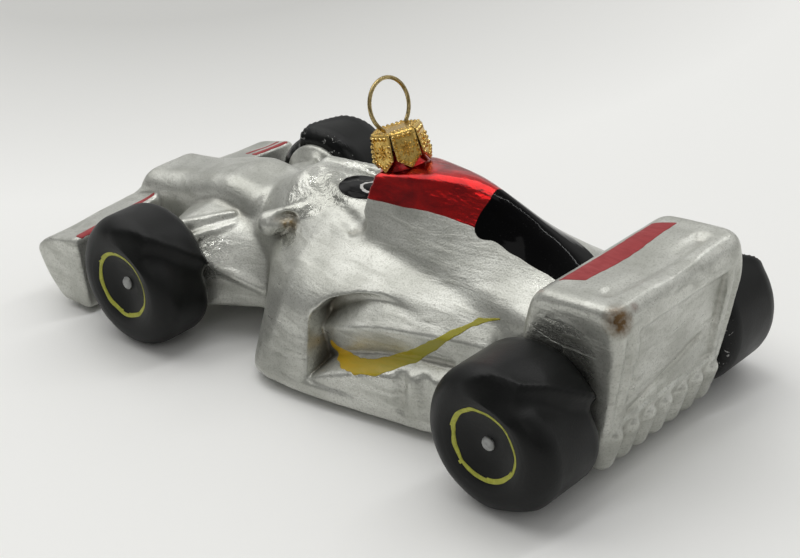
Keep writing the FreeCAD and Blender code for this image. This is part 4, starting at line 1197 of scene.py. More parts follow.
@dataclass
class CarGlass(GlassField):
    """The moulded bubble: every form of the car that is silvered or painted glass."""

    step: float = 0.36
    low: Point = (-32.0, -71.0, 0.3)
    high: Point = (32.0, 71.0, 43.0)
    front_axle: float = -37.5
    wing_half: float = 30.8
    rib_pitch: float = 4.7
    rib_count: int = 7

    def __post_init__(self) -> None:
        """Lay out the grid and melt all the forms together in order."""
        super().__init__(self.low, self.high, self.step)
        for build in (self.tub, self.pods, self.nose, self.front_wing, self.suspension,
                      self.cowl, self.cover, self.rear_wing, self.duct, self.diffuser,
                      self.cockpit, self.mirrors):
            build()

    def tub(self) -> None:
        """Core between the wheels."""
        self.add(Zone.TUB, Loft((
            (-33.0, ((8.0, 3.0), (8.0, 19.0))),
            (-18.0, ((12.0, 3.0), (12.0, 23.0))),
            (55.0, ((12.0, 3.0), (12.0, 24.0))),
        ), (3.0, 3.0)), 0.0)

    def nose(self) -> None:
        """Blunt crowned nose that climbs to the cowl."""
        self.add(Zone.NOSE, Loft((
            (-69.3, ((4.2, 8.6), (4.6, 11.2), (2.6, 13.6))),
            (-67.0, ((6.2, 7.8), (7.0, 12.0), (4.8, 15.8))),
            (-63.2, ((7.8, 6.6), (8.6, 13.8), (6.6, 18.0))),
            (-61.6, ((8.4, 6.0), (9.2, 14.6), (7.2, 21.4))),
            (-57.0, ((8.6, 5.6), (9.4, 15.0), (7.2, 22.0))),
            (-50.0, ((9.0, 4.6), (9.8, 16.0), (7.0, 23.2))),
            (-41.0, ((9.4, 4.0), (10.2, 17.4), (7.0, 25.9))),
            (-35.0, ((9.8, 4.0), (10.5, 18.0), (7.2, 27.2))),
            (-25.5, ((10.2, 4.0), (10.8, 18.0), (7.4, 26.4))),
        ), (3.0, 3.0, 3.4), 1.4, 1.3), 1.6)

    def front_wing(self) -> None:
        """Thick drooping wing that carries the nose."""
        self.add(Zone.FRONT_WING, Prism((
            (-62.5, 1.1), (-53.9, 1.1), (-55.4, 18.3), (-65.6, 15.6), (-69.5, 12.2),
            (-67.6, 7.0)), self.wing_half, 1.3, 1.6), 1.0)
        self.carve(Ellipsoid((27.0, -63.5, 24.6), (9.0, 9.0, 9.0), True), 1.6)

    def cowl(self) -> None:
        """Hump in front of the cockpit and the shoulders beside it."""
        self.add(Zone.COWL, Loft((
            (-29.0, ((8.5, 14.0), (8.0, 20.0), (5.6, 23.6), (2.4, 24.6))),
            (-22.5, ((10.4, 14.0), (10.0, 22.4), (7.0, 26.2), (3.0, 28.8))),
            (-17.2, ((12.2, 14.0), (11.0, 24.4), (7.6, 28.6), (3.2, 32.2))),
            (-11.0, ((12.4, 14.0), (11.6, 25.4), (8.2, 28.8), (4.4, 31.6))),
            (-3.0, ((12.4, 14.0), (12.0, 26.0), (8.8, 28.6), (5.4, 31.3))),
            (6.0, ((12.4, 14.0), (12.2, 26.4), (9.6, 28.4), (6.0, 31.2))),
        ), (2.0, 2.4, 2.0, 1.6), 2.0, 1.4), 2.0)

    def cover(self) -> None:
        """Engine cover from the air intake to the rear wing, creased along its crest."""
        self.add(Zone.COVER, Loft((
            (4.3, ((11.4, 20.0), (11.4, 26.8), (5.9, 38.0), (2.0, 38.5))),
            (8.0, ((11.7, 20.0), (11.7, 26.7), (5.3, 38.7), (2.0, 39.3))),
            (12.0, ((12.2, 20.0), (12.2, 26.6), (4.75, 39.5), (1.8, 40.1))),
            (16.0, ((12.8, 20.0), (12.8, 26.4), (3.8, 39.9), (1.5, 40.4))),
            (20.0, ((13.3, 20.0), (13.3, 26.2), (2.7, 40.2), (1.1, 40.6))),
            (24.0, ((13.6, 20.0), (13.6, 26.0), (1.8, 40.2), (0.7, 40.5))),
            (28.0, ((13.9, 20.0), (13.9, 25.8), (1.25, 39.7), (0.5, 40.0))),
            (31.5, ((14.1, 20.0), (14.1, 25.6), (1.2, 38.5), (0.5, 38.8))),
            (36.0, ((14.4, 20.0), (14.4, 25.5), (1.25, 36.5), (0.5, 36.8))),
            (41.0, ((14.6, 20.0), (14.6, 25.4), (1.5, 33.9), (0.5, 34.1))),
            (46.0, ((14.6, 20.0), (14.6, 25.4), (1.8, 30.8), (0.6, 31.0))),
            (50.0, ((14.6, 20.0), (14.6, 25.4), (1.9, 28.6), (0.7, 28.8))),
            (54.0, ((14.6, 20.0), (14.6, 25.4), (2.2, 27.2), (0.7, 27.3))),
        ), (1.6, 2.4, 0.7, 0.5), 0.6, 1.6), 1.0)

    def pods(self) -> None:
        """Side pods, flared at the low front corner."""
        self.add(Zone.POD, Loft((
            (-17.4, ((14.5, 1.2), (15.0, 7.5), (13.0, 19.4), (7.6, 22.4))),
            (-12.4, ((25.6, 1.2), (22.8, 7.5), (18.4, 19.4), (8.0, 25.6))),
            (-9.0, ((29.8, 1.2), (26.2, 7.5), (21.4, 19.0), (8.0, 27.2))),
            (-4.6, ((30.6, 1.2), (27.8, 7.5), (24.0, 18.6), (8.0, 28.6))),
            (2.0, ((29.4, 1.2), (28.0, 7.5), (24.4, 19.0), (8.0, 29.2))),
            (8.0, ((28.6, 1.2), (27.5, 7.5), (23.6, 20.2), (8.0, 29.2))),
            (17.0, ((26.8, 1.2), (26.2, 7.5), (21.4, 21.6), (8.0, 29.2))),
            (30.0, ((24.2, 1.2), (24.0, 7.5), (18.6, 22.8), (8.0, 28.6))),
            (46.0, ((19.0, 1.2), (18.8, 7.5), (15.2, 23.2), (8.0, 27.2))),
        ), (1.2, 5.0, 3.4, 2.0), 1.2, 1.2), 1.6)
        self.carve(Ellipsoid((30.2, -9.4, 10.0), (2.2, 1.8, 4.6), True), 1.0)

    def duct(self) -> None:
        """Arched duct in the pod's side, with a creased swelling and a ledge inside it."""
        self.carve(Prism((
            (5.0, 4.3), (30.0, 4.8), (36.0, 9.0), (34.4, 18.0), (28.6, 21.8), (20.0, 23.1),
            (12.2, 22.0), (6.8, 19.9), (3.8, 16.4)), 40.0, 0.7, 0.0, None, 18.4), 0.35)
        self.add(Zone.POD, Loft((
            (3.2, ((19.6, 5.0), (20.8, 12.6), (16.0, 15.8))),
            (6.6, ((20.0, 5.0), (21.3, 14.0), (16.2, 18.2))),
            (8.0, ((20.3, 5.0), (22.5, 14.7), (16.4, 19.4))),
            (13.0, ((18.8, 5.0), (23.3, 16.6), (16.6, 21.8))),
            (19.4, ((18.0, 5.0), (22.8, 18.6), (16.4, 23.6))),
            (26.0, ((17.6, 5.0), (21.9, 19.5), (16.0, 24.3))),
            (33.0, ((17.2, 5.0), (20.6, 20.0), (15.4, 24.4))),
            (42.0, ((17.0, 5.0), (18.5, 20.2), (14.0, 23.6))),
        ), (1.0, 0.35, 1.4), 1.6, 1.8), 0.4)
        self.add(Zone.POD, Loft((
            (4.8, ((26.8, 2.0), (26.6, 4.6), (18.6, 6.4))),
            (8.0, ((26.6, 2.0), (26.2, 6.4), (18.6, 9.6))),
            (13.0, ((26.0, 2.0), (25.6, 8.0), (18.6, 12.0))),
            (20.0, ((25.3, 2.0), (24.9, 10.2), (17.6, 14.4))),
            (27.0, ((24.6, 2.0), (24.0, 11.8), (16.4, 16.0))),
            (38.0, ((22.2, 2.0), (21.6, 12.8), (15.0, 17.0))),
        ), (1.0, 0.8, 1.0), 0.8, 1.5), 0.6)
        for x, y, low in ((25.5, 26.4, 5.4), (24.8, 31.4, 6.2)):
            self.carve(Capsule((x, y, low), (x - 0.9, y - 0.8, low + 7.6), 1.6, 1.8, True), 0.8)

    def suspension(self) -> None:
        """Uprights, swept wishbone arms, the web between them and the plate below."""
        axle = self.front_axle
        self.add(Zone.WISHBONES, Loft((
            (-47.0, ((9.6, 5.0), (9.8, 11.0), (9.4, 14.6), (8.0, 17.6))),
            (-43.0, ((19.0, 5.0), (19.0, 14.4), (16.0, 18.2), (9.4, 20.4))),
            (-37.0, ((20.2, 5.2), (20.2, 17.4), (18.2, 21.5), (9.6, 22.8))),
            (-33.0, ((20.4, 5.4), (20.4, 17.2), (17.2, 21.0), (9.6, 22.6))),
            (-29.5, ((20.2, 5.6), (20.0, 16.2), (15.4, 19.8), (9.6, 22.0))),
            (-25.0, ((18.0, 6.0), (17.8, 14.0), (13.8, 18.4), (9.6, 20.8))),
            (-19.0, ((15.6, 6.6), (15.6, 11.4), (12.8, 16.4), (9.6, 19.0))),
            (-14.0, ((14.8, 6.8), (14.8, 10.6), (11.8, 15.0), (9.6, 17.6))),
        ), (1.0, 0.6, 1.6, 1.6), 1.2, 1.4), 1.0)
        for start, end, radius, tip_radius, blend in (
                ((19.0, -36.4, 20.9), (10.4, -30.2, 21.9), 1.0, 0.7, 1.0),
                ((18.8, -32.6, 19.4), (11.4, -28.6, 20.5), 0.8, 0.5, 0.8),
                ((19.4, -29.8, 15.4), (15.0, -18.4, 10.9), 1.0, 0.8, 0.8)):
            self.add(Zone.WISHBONES, Capsule(start, end, radius, tip_radius, True), blend)
        for side, radius in ((1, 7.8), (-1, 9.6)):
            self.add(Zone.UPRIGHT, Capsule((side * 16.8, axle, 13.5), (side * 20.8, axle, 13.8),
                                           4.6, radius), 1.4)

    def mirrors(self) -> None:
        """Stubby mirrors beside the cowl, hollow behind."""
        self.add(Zone.MIRROR, Capsule((8.2, -11.6, 27.2), (13.2, -16.4, 24.9),
                                      1.7, 2.5, True), 1.2)
        self.carve(Ellipsoid((13.2, -12.4, 26.7), (2.8, 2.2, 1.2), True), 0.8)

    def cockpit(self) -> None:
        """Shallow dish of the cockpit, the soft channel round it and the oval's own dome."""
        self.add(Zone.COWL, Capsule((-4.4, -16.8, 30.8), (-8.6, -7.0, 29.9), 1.6, 1.4), 1.6)
        self.carve(Ellipsoid((0.4, -4.4, 36.0), (8.8, 11.8, 5.4)), 0.8)
        channel = ((0.0, -15.6, 33.8), (3.8, -12.4, 32.6), (6.8, -6.4, 31.3),
                   (9.2, 0.0, 30.3), (10.4, 4.0, 29.5))
        for start, end in zip(channel, channel[1:]):
            self.carve(Capsule(start, end, 2.0, 2.0), 1.0)
        self.carve(Ellipsoid((10.6, 3.0, 29.2), (1.7, 1.3, 2.2), True), 0.6)
        self.add(Zone.COCKPIT, Ellipsoid((0.0, -3.0, 30.2), (4.7, 6.0, 1.3)), 0.4)

    def rear_wing(self) -> None:
        """Closed block of the rear wing with its groove and sunk panel."""
        self.add(Zone.REAR_WING, Prism((
            (47.4, 5.4), (64.2, 5.4), (66.4, 13.0), (69.3, 30.4), (66.9, 36.0), (59.6, 36.0),
            (51.2, 34.8), (47.6, 27.0)), 18.8, 2.6, 0.0, 17.0), 1.0)
        self.carve(Ellipsoid((0.0, 59.0, 46.6), (19.5, 17.0, 12.1)), 1.6)
        self.carve(Capsule((-12.0, 63.0, 36.2), (12.6, 62.2, 36.2), 1.8, 1.6), 1.2)
        self.carve(Ellipsoid((33.6, 59.0, 17.0), (16.4, 14.0, 16.6), True), 2.0)
        self.carve(Prism((
            (65.0, 12.3), (70.6, 12.3), (73.0, 30.2), (67.8, 30.2)), 12.9, 0.3), 0.2)
        for side in (-1, 1):
            self.carve(Capsule((side * 15.7, 69.5, 31.0), (side * 15.2, 66.1, 10.4),
                               1.15, 1.15), 0.2)
        self.carve(Capsule((-15.2, 66.1, 10.2), (15.2, 66.1, 10.2), 1.1, 1.1), 0.2)
        self.carve(Capsule((12.0, 67.0, 27.0), (11.9, 66.3, 16.6), 1.2, 1.4), 0.2)
        self.carve(Capsule((10.4, 66.0, 13.2), (-8.0, 66.7, 18.6), 1.3, 1.3), 0.2)

    def diffuser(self) -> None:
        """Row of rounded ribs along the foot of the rear wing."""
        for number in range(self.rib_count):
            x = (number - (self.rib_count - 1) / 2) * self.rib_pitch
            self.add(Zone.DIFFUSER, Capsule((x, 61.9, 4.9), (x, 64.5, 9.8), 2.5, 1.7), 0.3)


@dataclass(frozen=True)
class Paintwork:
    """Where each colour lies on the glass, as curves in the car's own frame.

    Args:
        foot: Lowest place of the cover's paint.
        tail: Where it ends behind.
        narrows: Where its half width drops from half to tail_half.
        floor: Lowest place of the cockpit's oval.
    """

    cover_front: float = 4.3
    edge_line: tuple[Flat, ...] = (
        (3.0, 33.8), (12.5, 34.5), (21.5, 35.0), (29.0, 34.4), (33.6, 33.0), (39.4, 31.3),
        (45.2, 29.6), (49.0, 28.4), (56.0, 26.4))
    seam: float = 29.2
    foot: float = 26.0
    tail: float = 51.5
    narrows: float = 47.0
    half: float = 13.0
    tail_half: float = 7.8
    floor: float = 28.5
    lobe: tuple[float, float, float] = (30.9, 35.4, 2.3)
    oval: tuple[float, float, float, float] = (-0.3, -3.0, 4.9, 6.2)

    def cover_side(self, points: Array) -> Array:
        """Negative above the lower edge of the paint on the engine cover.

        Args:
            points: Places in millimetres, one row each.

        Returns:
            Rough distance of each place from the edge.
        """
        places = [p[0] for p in self.edge_line]
        offsets = np.linspace(-1.6, 1.6, 5)
        levels = sum(np.interp(points[:, 1] + o, places, [p[1] for p in self.edge_line])
                     for o in offsets) / len(offsets)
        return levels - points[:, 2] + noise(points, 2.4, 11) * 0.10

    def black(self, points: Array) -> Array:
        """Negative in the black spine with its round front lobe.

        Args:
            points: Places in millimetres, one row each.

        Returns:
            Rough distance of each place from the edge.
        """
        y, z, radius = self.lobe
        lobe = np.hypot(points[:, 1] - y, points[:, 2] - z) - radius
        slab = smooth_max(self.seam - points[:, 1], self.cover_side(points), 0.8)
        return smooth_min(lobe, slab, 1.6) + noise(points, 2.4, 12) * 0.10

    def painted(self, points: Array) -> Array:
        """Negative in either colour of the engine cover."""
        red = np.maximum(self.cover_side(points), points[:, 1] - self.seam - 3.0)
        return np.minimum(red, self.black(points))

    def oval_opening(self, points: Array) -> Array:
        """Negative in the black oval at the bottom of the cockpit.

        Args:
            points: Places in millimetres, one row each.

        Returns:
            Rough distance of each place from the edge.
        """
        x, y, half_x, half_y = self.oval
        share = np.hypot((points[:, 0] - x) / half_x, (points[:, 1] - y) / half_y)
        return (share - 1) * half_x + noise(points, 2.0, 5) * 0.1


@dataclass(frozen=True)
class Stroke:
    """Brush stroke along a chain of places seen from one side of the car.

    Args:
        places: (first, second, half width) along the stroke.
        axes: The two axes of the view that the stroke is drawn in.
        near: Lowest and highest place on the third axis that takes the paint.
        ends: Lowest and highest place of cut ends, and how much the cuts slant.
    """

    name: str
    places: tuple[tuple[float, float, float], ...]
    axes: tuple[int, int]
    near: Flat
    seed: int
    ragged: float = 0.12
    ends: tuple[float, float, float] | None = None

    def region(self, points: Array) -> Array:
        """Negative where the stroke lies.

        Args:
            points: Places in millimetres, one row each.

        Returns:
            Rough distance of each place from the edge.
        """
        flat = points[:, list(self.axes)]
        best = np.full(len(points), FAR)
        for first, second in zip(self.places, self.places[1:]):
            start, run = np.array(first[:2]), np.subtract(second[:2], first[:2])
            share = np.clip((flat - start) @ run / float(run @ run), 0.0, 1.0)
            gap = np.linalg.norm(flat - start - share[:, None] * run, axis=1)
            width = first[2] + (second[2] - first[2]) * share
            best = smooth_min(best, gap - width, 0.6)
        third = points[:, 3 - sum(self.axes)]
        outside = np.maximum(self.near[0] - third, third - self.near[1])
        if self.ends is not None:
            low, high, slant = self.ends
            along = flat[:, 0] + slant * flat[:, 1]
            outside = np.maximum(outside, np.maximum(low - along, along - high))
        return np.maximum(best + noise(points, 1.3, self.seed) * self.ragged, outside)


SWOOSH = ((6.4, 9.9, 0.85), (8.8, 9.3, 0.85), (11.6, 9.2, 0.8), (15.6, 9.7, 0.85),
          (20.0, 11.0, 1.0), (26.4, 14.5, 1.15), (30.8, 18.0, 0.9), (34.0, 20.7, 0.55),
          (37.4, 23.0, 0.35), (40.8, 24.0, 0.2))

STROKES = (
    Stroke("front_wing_stripe_left", ((9.0, -57.0, 0.6), (17.0, -56.7, 0.8),
                                      (28.5, -56.4, 0.9)), (0, 1), (12.0, 30.0), 21),
    Stroke("front_wing_stripe_right", ((-20.0, -56.6, 0.65), (-29.0, -56.4, 0.65)), (0, 1),
           (13.0, 30.0), 22),
    Stroke("front_wing_stripe_right_front", ((-20.4, -59.2, 0.55), (-29.0, -59.0, 0.55)), (0, 1),
           (13.0, 30.0), 23),
    Stroke("rear_wing_stripe", ((-22.0, 54.7, 2.0), (22.0, 54.7, 2.0)), (0, 1),
           (30.0, 40.0), 24, 0.08, (10.6, 36.8, 0.45)),
    Stroke("sidepod_swoosh_left", SWOOSH, (1, 2), (8.0, 40.0), 25, 0.10),
    Stroke("sidepod_swoosh_right", SWOOSH, (1, 2), (-40.0, -8.0), 26, 0.10),
    # Painted reflection: a pale arc on the glossy black oval.
    Stroke("cockpit_line", ((-2.8, -2.4, 0.2), (-2.0, -3.2, 0.2), (-0.8, -3.8, 0.2),
                            (0.5, -3.8, 0.2), (1.3, -3.1, 0.2), (1.8, -2.0, 0.2),
                            (1.9, -1.0, 0.2), (1.5, -0.2, 0.2)), (0, 1), (29.0, 33.0), 27, 0.03),
)


@dataclass(frozen=True)
class Crinkle:
    """Place, on both sides of the car, where the glass is crumpled into fine folds.

    Args:
        half: Half size along each axis; rim and core are shares of it.
        rim: Where the folds end.
        core: Where they reach their full strength.
    """

    centre: Point
    half: Point
    rim: float
    core: float
    strength: float

    def felt(self, points: Array) -> Array:
        """Strength of the folds at each point.

        Args:
            points: Places in millimetres, one row each.

        Returns:
            The strengths, 0 beyond the rim.
        """
        offset = points - self.centre
        offset[:, 0] = np.abs(points[:, 0]) - self.centre[0]
        share = np.linalg.norm(offset / self.half, axis=1)
        return fade(share, self.rim, self.core) * self.strength


# The cockpit bowl, arms, mirrors, cowl, sides of the rear wing and sills
CRINKLES = (
    Crinkle((0.0, -7.0, 29.6), (10.0, 14.0, 5.0), 1.1, 0.5, 0.6),
    Crinkle((15.0, -33.5, 14.0), (8.0, 10.0, 8.0), 1.1, 0.6, 0.6),
    Crinkle((12.4, -12.0, 23.0), (4.6, 4.0, 3.4), 1.1, 0.5, 0.5),
    Crinkle((7.0, -12.0, 29.0), (7.0, 7.0, 4.0), 1.0, 0.7, 0.5),
    Crinkle((17.6, 57.0, 25.0), (3.0, 10.0, 10.0), 1.0, 0.5, 0.5),
    Crinkle((25.0, 24.0, 7.4), (3.4, 15.0, 5.4), 1.1, 0.6, 0.35),
)


@dataclass
class GlassPieces:
    """Parts the glass into its pieces and paints them."""

    finishes: Finishes
    box: Sequence[Sequence[float]]
    paint: Paintwork = field(default_factory=Paintwork)
    smoothing: int = 2
    dent: float = 0.11
    crinkle: float = 0.17
    margin: float = 0.03
    # Reach, lift and gains of the painted shade that the finishes lay in hollows and sheltered
    # places.
    shelter_reach: float = 2.9
    shelter_lift: float = 0.2
    shelter_gain: float = 1.9
    hollow_gain: float = 3.6
    coat_lift: float = 0.035
    coat_sink: float = 0.05

    def _dented(self, skin: Surface) -> Array:
        """Move the points of the skin by soft dents and, in places, by fine folds.

        Args:
            skin: The whole glass.

        Returns:
            Strength of the folds at each point.
        """
        points = skin.points
        normals = skin.normals()
        wave = noise(points, 9.0, 1) * self.dent + noise(points, 3.4, 2) * self.dent * 0.45
        strength = np.max([place.felt(points) for place in CRINKLES], axis=0)
        ridges = 1 - np.abs(noise(points, 1.9, 3)) * 2.2
        folds = np.maximum(ridges, 0.0) ** 2 - 0.35
        skin.points = points + normals * (wave + strength * folds * self.crinkle)[:, None]
        return strength

    def _zone_of_faces(self, skin: Surface, zones: Array) -> Array:
        """Zone number of each face, with the painted zones of the cover told apart.

        Args:
            skin: The whole glass.
            zones: Zone number at each point.

        Returns:
            The zone numbers.
        """
        order = list(Zone)
        of_face = zones[skin.loops[skin.starts]]
        middle = skin.face_mean(skin.points)
        across, along, level = np.abs(middle[:, 0]), middle[:, 1], middle[:, 2]
        cover = of_face == order.index(Zone.COVER)
        black = self.paint.black(middle) < 0
        painted = self.paint.painted(middle) < 0
        behind = along < self.paint.tail
        above = (level > self.paint.foot) & (along > self.paint.cover_front + 0.2)
        half = np.where(along > self.paint.narrows, self.paint.tail_half, self.paint.half)
        on_cover = cover | (above & (across < half) & behind & painted)
        of_face[cover & ~painted] = order.index(Zone.FLANKS)
        of_face[on_cover & painted] = order.index(Zone.COVER)
        of_face[on_cover & black & behind] = order.index(Zone.SPINE)
        opening = (self.paint.oval_opening(middle) < 0) & (level > self.paint.floor)
        opening &= along < self.paint.cover_front
        of_face[opening] = order.index(Zone.COCKPIT)
        return of_face

    def make(self) -> None:
        """Mesh the glass, part it, dress every piece and paint the strokes."""
        glass = CarGlass()
        points, quads, zones = glass.surface()
        skin = Surface(points, quads)
        skin.points = skin.averaged(skin.points, self.smoothing)
        crease = self._dented(skin)
        low, high = (np.array(corner) / MM for corner in self.box)
        skin.points = np.clip(skin.points, low + self.margin, high - self.margin)
        regions = [self.paint.cover_side, self.paint.black, self.paint.oval_opening]
        for region in regions + [stroke.region for stroke in STROKES]:
            zones = skin.cut(region, zones)
        crease = np.concatenate([crease, np.zeros(len(skin.points) - len(crease))])
        normals = skin.normals()
        # Painted shade: the hollow layer, from hollowness and shelter, darkens the silver and the
        # red paint there.
        sunk = glass.shelter(skin.points + normals * self.shelter_lift, self.shelter_reach) - 0.5
        hollow = skin.hollowness(4) * self.hollow_gain
        hollow = skin.averaged(hollow + np.maximum(sunk, -0.2) * self.shelter_gain, 2)
        layers = {"hollow": hollow, "crease": crease}
        self._part(skin, self._zone_of_faces(skin, zones), normals, layers)
        self._brush(skin, normals)

    def _part(self, skin: Surface, of_face: Array, normals: Array,
              layers: dict[str, Array]) -> None:
        """Part the skin by zone, and paired zones by side, and dress the pieces.

        Args:
            skin: The whole glass.
            of_face: Zone number of each face.
            normals: Normal at each point.
            layers: Values at the points that the finishes read by name.
        """
        middle = skin.face_mean(skin.points)
        painted = {Zone.COVER: self.finishes.red, Zone.SPINE: self.finishes.black,
                   Zone.COCKPIT: self.finishes.black}
        for number, zone in enumerate(Zone):
            sides = [("", np.ones(len(of_face), bool))]
            if zone in PAIRED:
                sides = [("_left", middle[:, 0] > 0), ("_right", middle[:, 0] <= 0)]
            for suffix, side in sides:
                chosen = (of_face == number) & side
                if not chosen.any():
                    continue
                node = zone.value + suffix
                piece, used = skin.part(chosen)
                carried = {key: values[used] for key, values in layers.items()}
                made = piece.build(node + "_glass", painted.get(zone, self.finishes.silver),
                                   normals[used], carried)
                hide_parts(node)
                self._ride(made)

    def _brush(self, skin: Surface, normals: Array) -> None:
        """Lay every stroke of paint on the glass as a thin coat.

        Args:
            skin: The whole glass, already cut along the edges of the strokes.
            normals: Normal at each point.
        """
        for stroke in STROKES:
            chosen = skin.inside(stroke.region)
            coat = skin.coat(chosen, normals, self.coat_lift, self.coat_sink)
            finish = self.finishes.stripe
            if stroke.axes == (1, 2):
                finish = self.finishes.swoosh
            # The cockpit stroke takes the pale paint that stands in for a reflection.
            elif "cockpit" in stroke.name:
                finish = self.finishes.line
            self._ride(coat.build(stroke.name, finish))

    @staticmethod
    def _ride(piece: bpy.types.Object) -> None:
        """Let a piece move with the glass."""
        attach(piece, Body.GLASS.value)
        LOG.info("%s: %d faces", piece.name, len(piece.data.polygons))


# Tyres


@dataclass(frozen=True)
class Tyre:
    """Painted glass tyre, turned about its axle and dented like the real one."""

    node: str
    side: int
    inner: float
    width: float
    axle_y: float
    seed: int
    crease: tuple[Flat, ...]
    radius: float = 13.5
    around: int = 132
    ring_radius: float = 6.5
    ring_width: float = 0.37
    ring_waver: float = 0.32
    ring_lift: float = 0.03
    hub_radius: float = 1.25
    hub_waver: float = 0.08
    hub_lift: float = 0.04
    coat_sink: float = 0.04

    def profile(self) -> list[Flat]:
        """(distance along the axle, radius) from the inner middle to the outer middle.

        Returns:
            The corners of the section.
        """
        wide = self.width
        out = [(0.0, 0.0), (0.05, 3.0), (0.05, 6.0), (0.0, 8.6)]
        out += self._arc((3.4, 10.1), 3.4, 180.0, 96.0, 8)
        out += [(wide * share, self.radius) for share in (0.38, 0.46, 0.54, 0.62)]
        out += self._arc((wide - 4.5, 9.1), 4.4, 84.0, 4.0, 10)
        out += [(wide - 0.18, 7.9), (wide - 0.42, 7.1), (wide - 0.72, 6.5), (wide - 0.98, 5.9)]
        out += [(wide - 1.3, 5.0), (wide - 1.62, 4.0), (wide - 1.86, 3.1), (wide - 2.0, 2.3)]
        out += [(wide - 2.04, 1.6), (wide - 1.98, 1.3), (wide - 1.62, 1.1), (wide - 1.4, 0.7)]
        out.append((wide - 1.32, 0.0))
        return out

    @staticmethod
    def _arc(centre: Flat, radius: float, first: float, last: float, count: int) -> list[Flat]:
        """Points of an arc, angles in degrees from the outward axle.

        Args:
            centre: Middle of the arc.
            radius: Its radius.
            first: Angle of its first point.
            last: Angle of its last point.
            count: Number of points.

        Returns:
            The points.
        """
        points = []
        for angle in np.radians(np.linspace(first, last, count)):
            points.append((centre[0] + radius * math.cos(angle),
                           centre[1] + radius * math.sin(angle)))
        return points

    def surface(self) -> Surface:
        """Turn the profile, dent it and set it on its axle.

        Returns:
            The tyre in the car's frame.
        """
        profile = self._dense(self.profile())
        angles = turns(self.around)
        rows = []
        for along, radius in profile:
            rows.append(np.stack([np.full(self.around, along), radius * np.cos(angles),
                                  radius * np.sin(angles)], axis=1))
        skin = Surface(np.concatenate(rows), band(len(profile), self.around))
        return self._dented(skin)

    @staticmethod
    def _dense(profile: list[Flat], step: float = 0.45) -> list[Flat]:
        """Profile with points no further apart than a step.

        Args:
            profile: Corners of the section.
            step: The largest gap.

        Returns:
            The section with more points.
        """
        made = [profile[0]]
        for (a, b), (c, d) in zip(profile, profile[1:]):
            count = max(1, int(math.hypot(c - a, d - b) / step))
            for part in range(1, count + 1):
                share = part / count
                made.append((a + (c - a) * share, b + (d - b) * share))
        return made

    def _dented(self, skin: Surface) -> Surface:
        """Press soft dents and folds into the tread, never outwards.

        Args:
            skin: The tyre about its own axle.

        Returns:
            The same surface, dented and set on its axle in the car's frame.
        """
        points = skin.points
        radius = np.hypot(points[:, 1], points[:, 2])
        tread = fade(radius, 7.5, 11.0)
        soft = noise(points, 8.5, self.seed) - 0.40
        dent = np.maximum(soft, 0.0) * 0.8 + self._creased(points)
        inner_edge = fade(points[:, 0], 2.4, 0.0)
        ragged = np.maximum(noise(points, 1.5, self.seed + 9), 0.0) * 0.35 * inner_edge
        shrink = 1 - tread * (dent + ragged + 0.08) / np.maximum(radius, 1.0)
        moved = points.copy()
        moved[:, 1] *= shrink
        moved[:, 2] *= shrink
        moved[:, 0] += noise(points, 5.0, self.seed + 3) * 0.12 * fade(points[:, 0], 1.0, 4.0)
        moved[:, 0] = np.minimum(moved[:, 0], self.width)
        moved[:, 2] -= moved[:, 2].min() + self.radius
        flip = np.array([self.side, self.side, 1.0])
        skin.points = moved * flip + (self.side * self.inner, self.axle_y, self.radius)
        skin.points[:, 2] = np.maximum(skin.points[:, 2], 0.0)
        skin.loops = skin.loops.reshape(-1, 4)[:, ::-1].reshape(-1)
        return skin

    def _creased(self, points: Array) -> Array:
        """Depth pressed into the tread beside its crease.

        Args:
            points: Places about the tyre's own axle, before it is turned to its side.

        Returns:
            The depth at each place, negative where the crease stands proud.
        """
        turn = np.arctan2(points[:, 2], points[:, 1]) * self.radius
        flat = np.stack([points[:, 0], turn], axis=1)
        line = [(along, math.radians(angle) * self.radius) for along, angle in self.crease]
        gap = np.full(len(points), FAR)
        below = np.zeros(len(points))
        for (a, b), (c, d) in zip(line, line[1:]):
            run = np.array((c - a, d - b))
            share = np.clip((flat - (a, b)) @ run / float(run @ run), 0.0, 1.0)
            reach = flat - (a, b) - share[:, None] * run
            distance = np.linalg.norm(reach, axis=1)
            side = np.sign(reach[:, 0] * run[1] - reach[:, 1] * run[0])
            below = np.where(distance < gap, side, below)
            gap = np.minimum(gap, distance)
        ridge = np.exp(-(gap / 1.1) ** 2)
        valley = gap / 2.6 * np.exp(1 - gap / 2.6) * (below < 0)
        return valley * 2.0 - ridge * 0.3

    def _round_region(self, low: float, high: float, waver: float) -> Region:
        """Ring between two radii about the axle on the outer face.

        Args:
            low: Inner radius, below 0 for a whole disc.
            high: Outer radius.
            waver: How far its edges stray.

        Returns:
            The region, negative inside the ring.
        """
        def region(points: Array) -> Array:
            """Rough distance of each place from the ring's edges.

            Args:
                points: Places in millimetres, one row each.

            Returns:
                The distances, negative inside.
            """
            gap = np.hypot(points[:, 1] - self.axle_y, points[:, 2] - self.radius)
            gap = gap + noise(points, 2.2, self.seed + 30) * waver
            outer = self.inner + self.width * 0.6 - np.abs(points[:, 0])
            return np.maximum(np.maximum(low - gap, gap - high), outer)
        return region

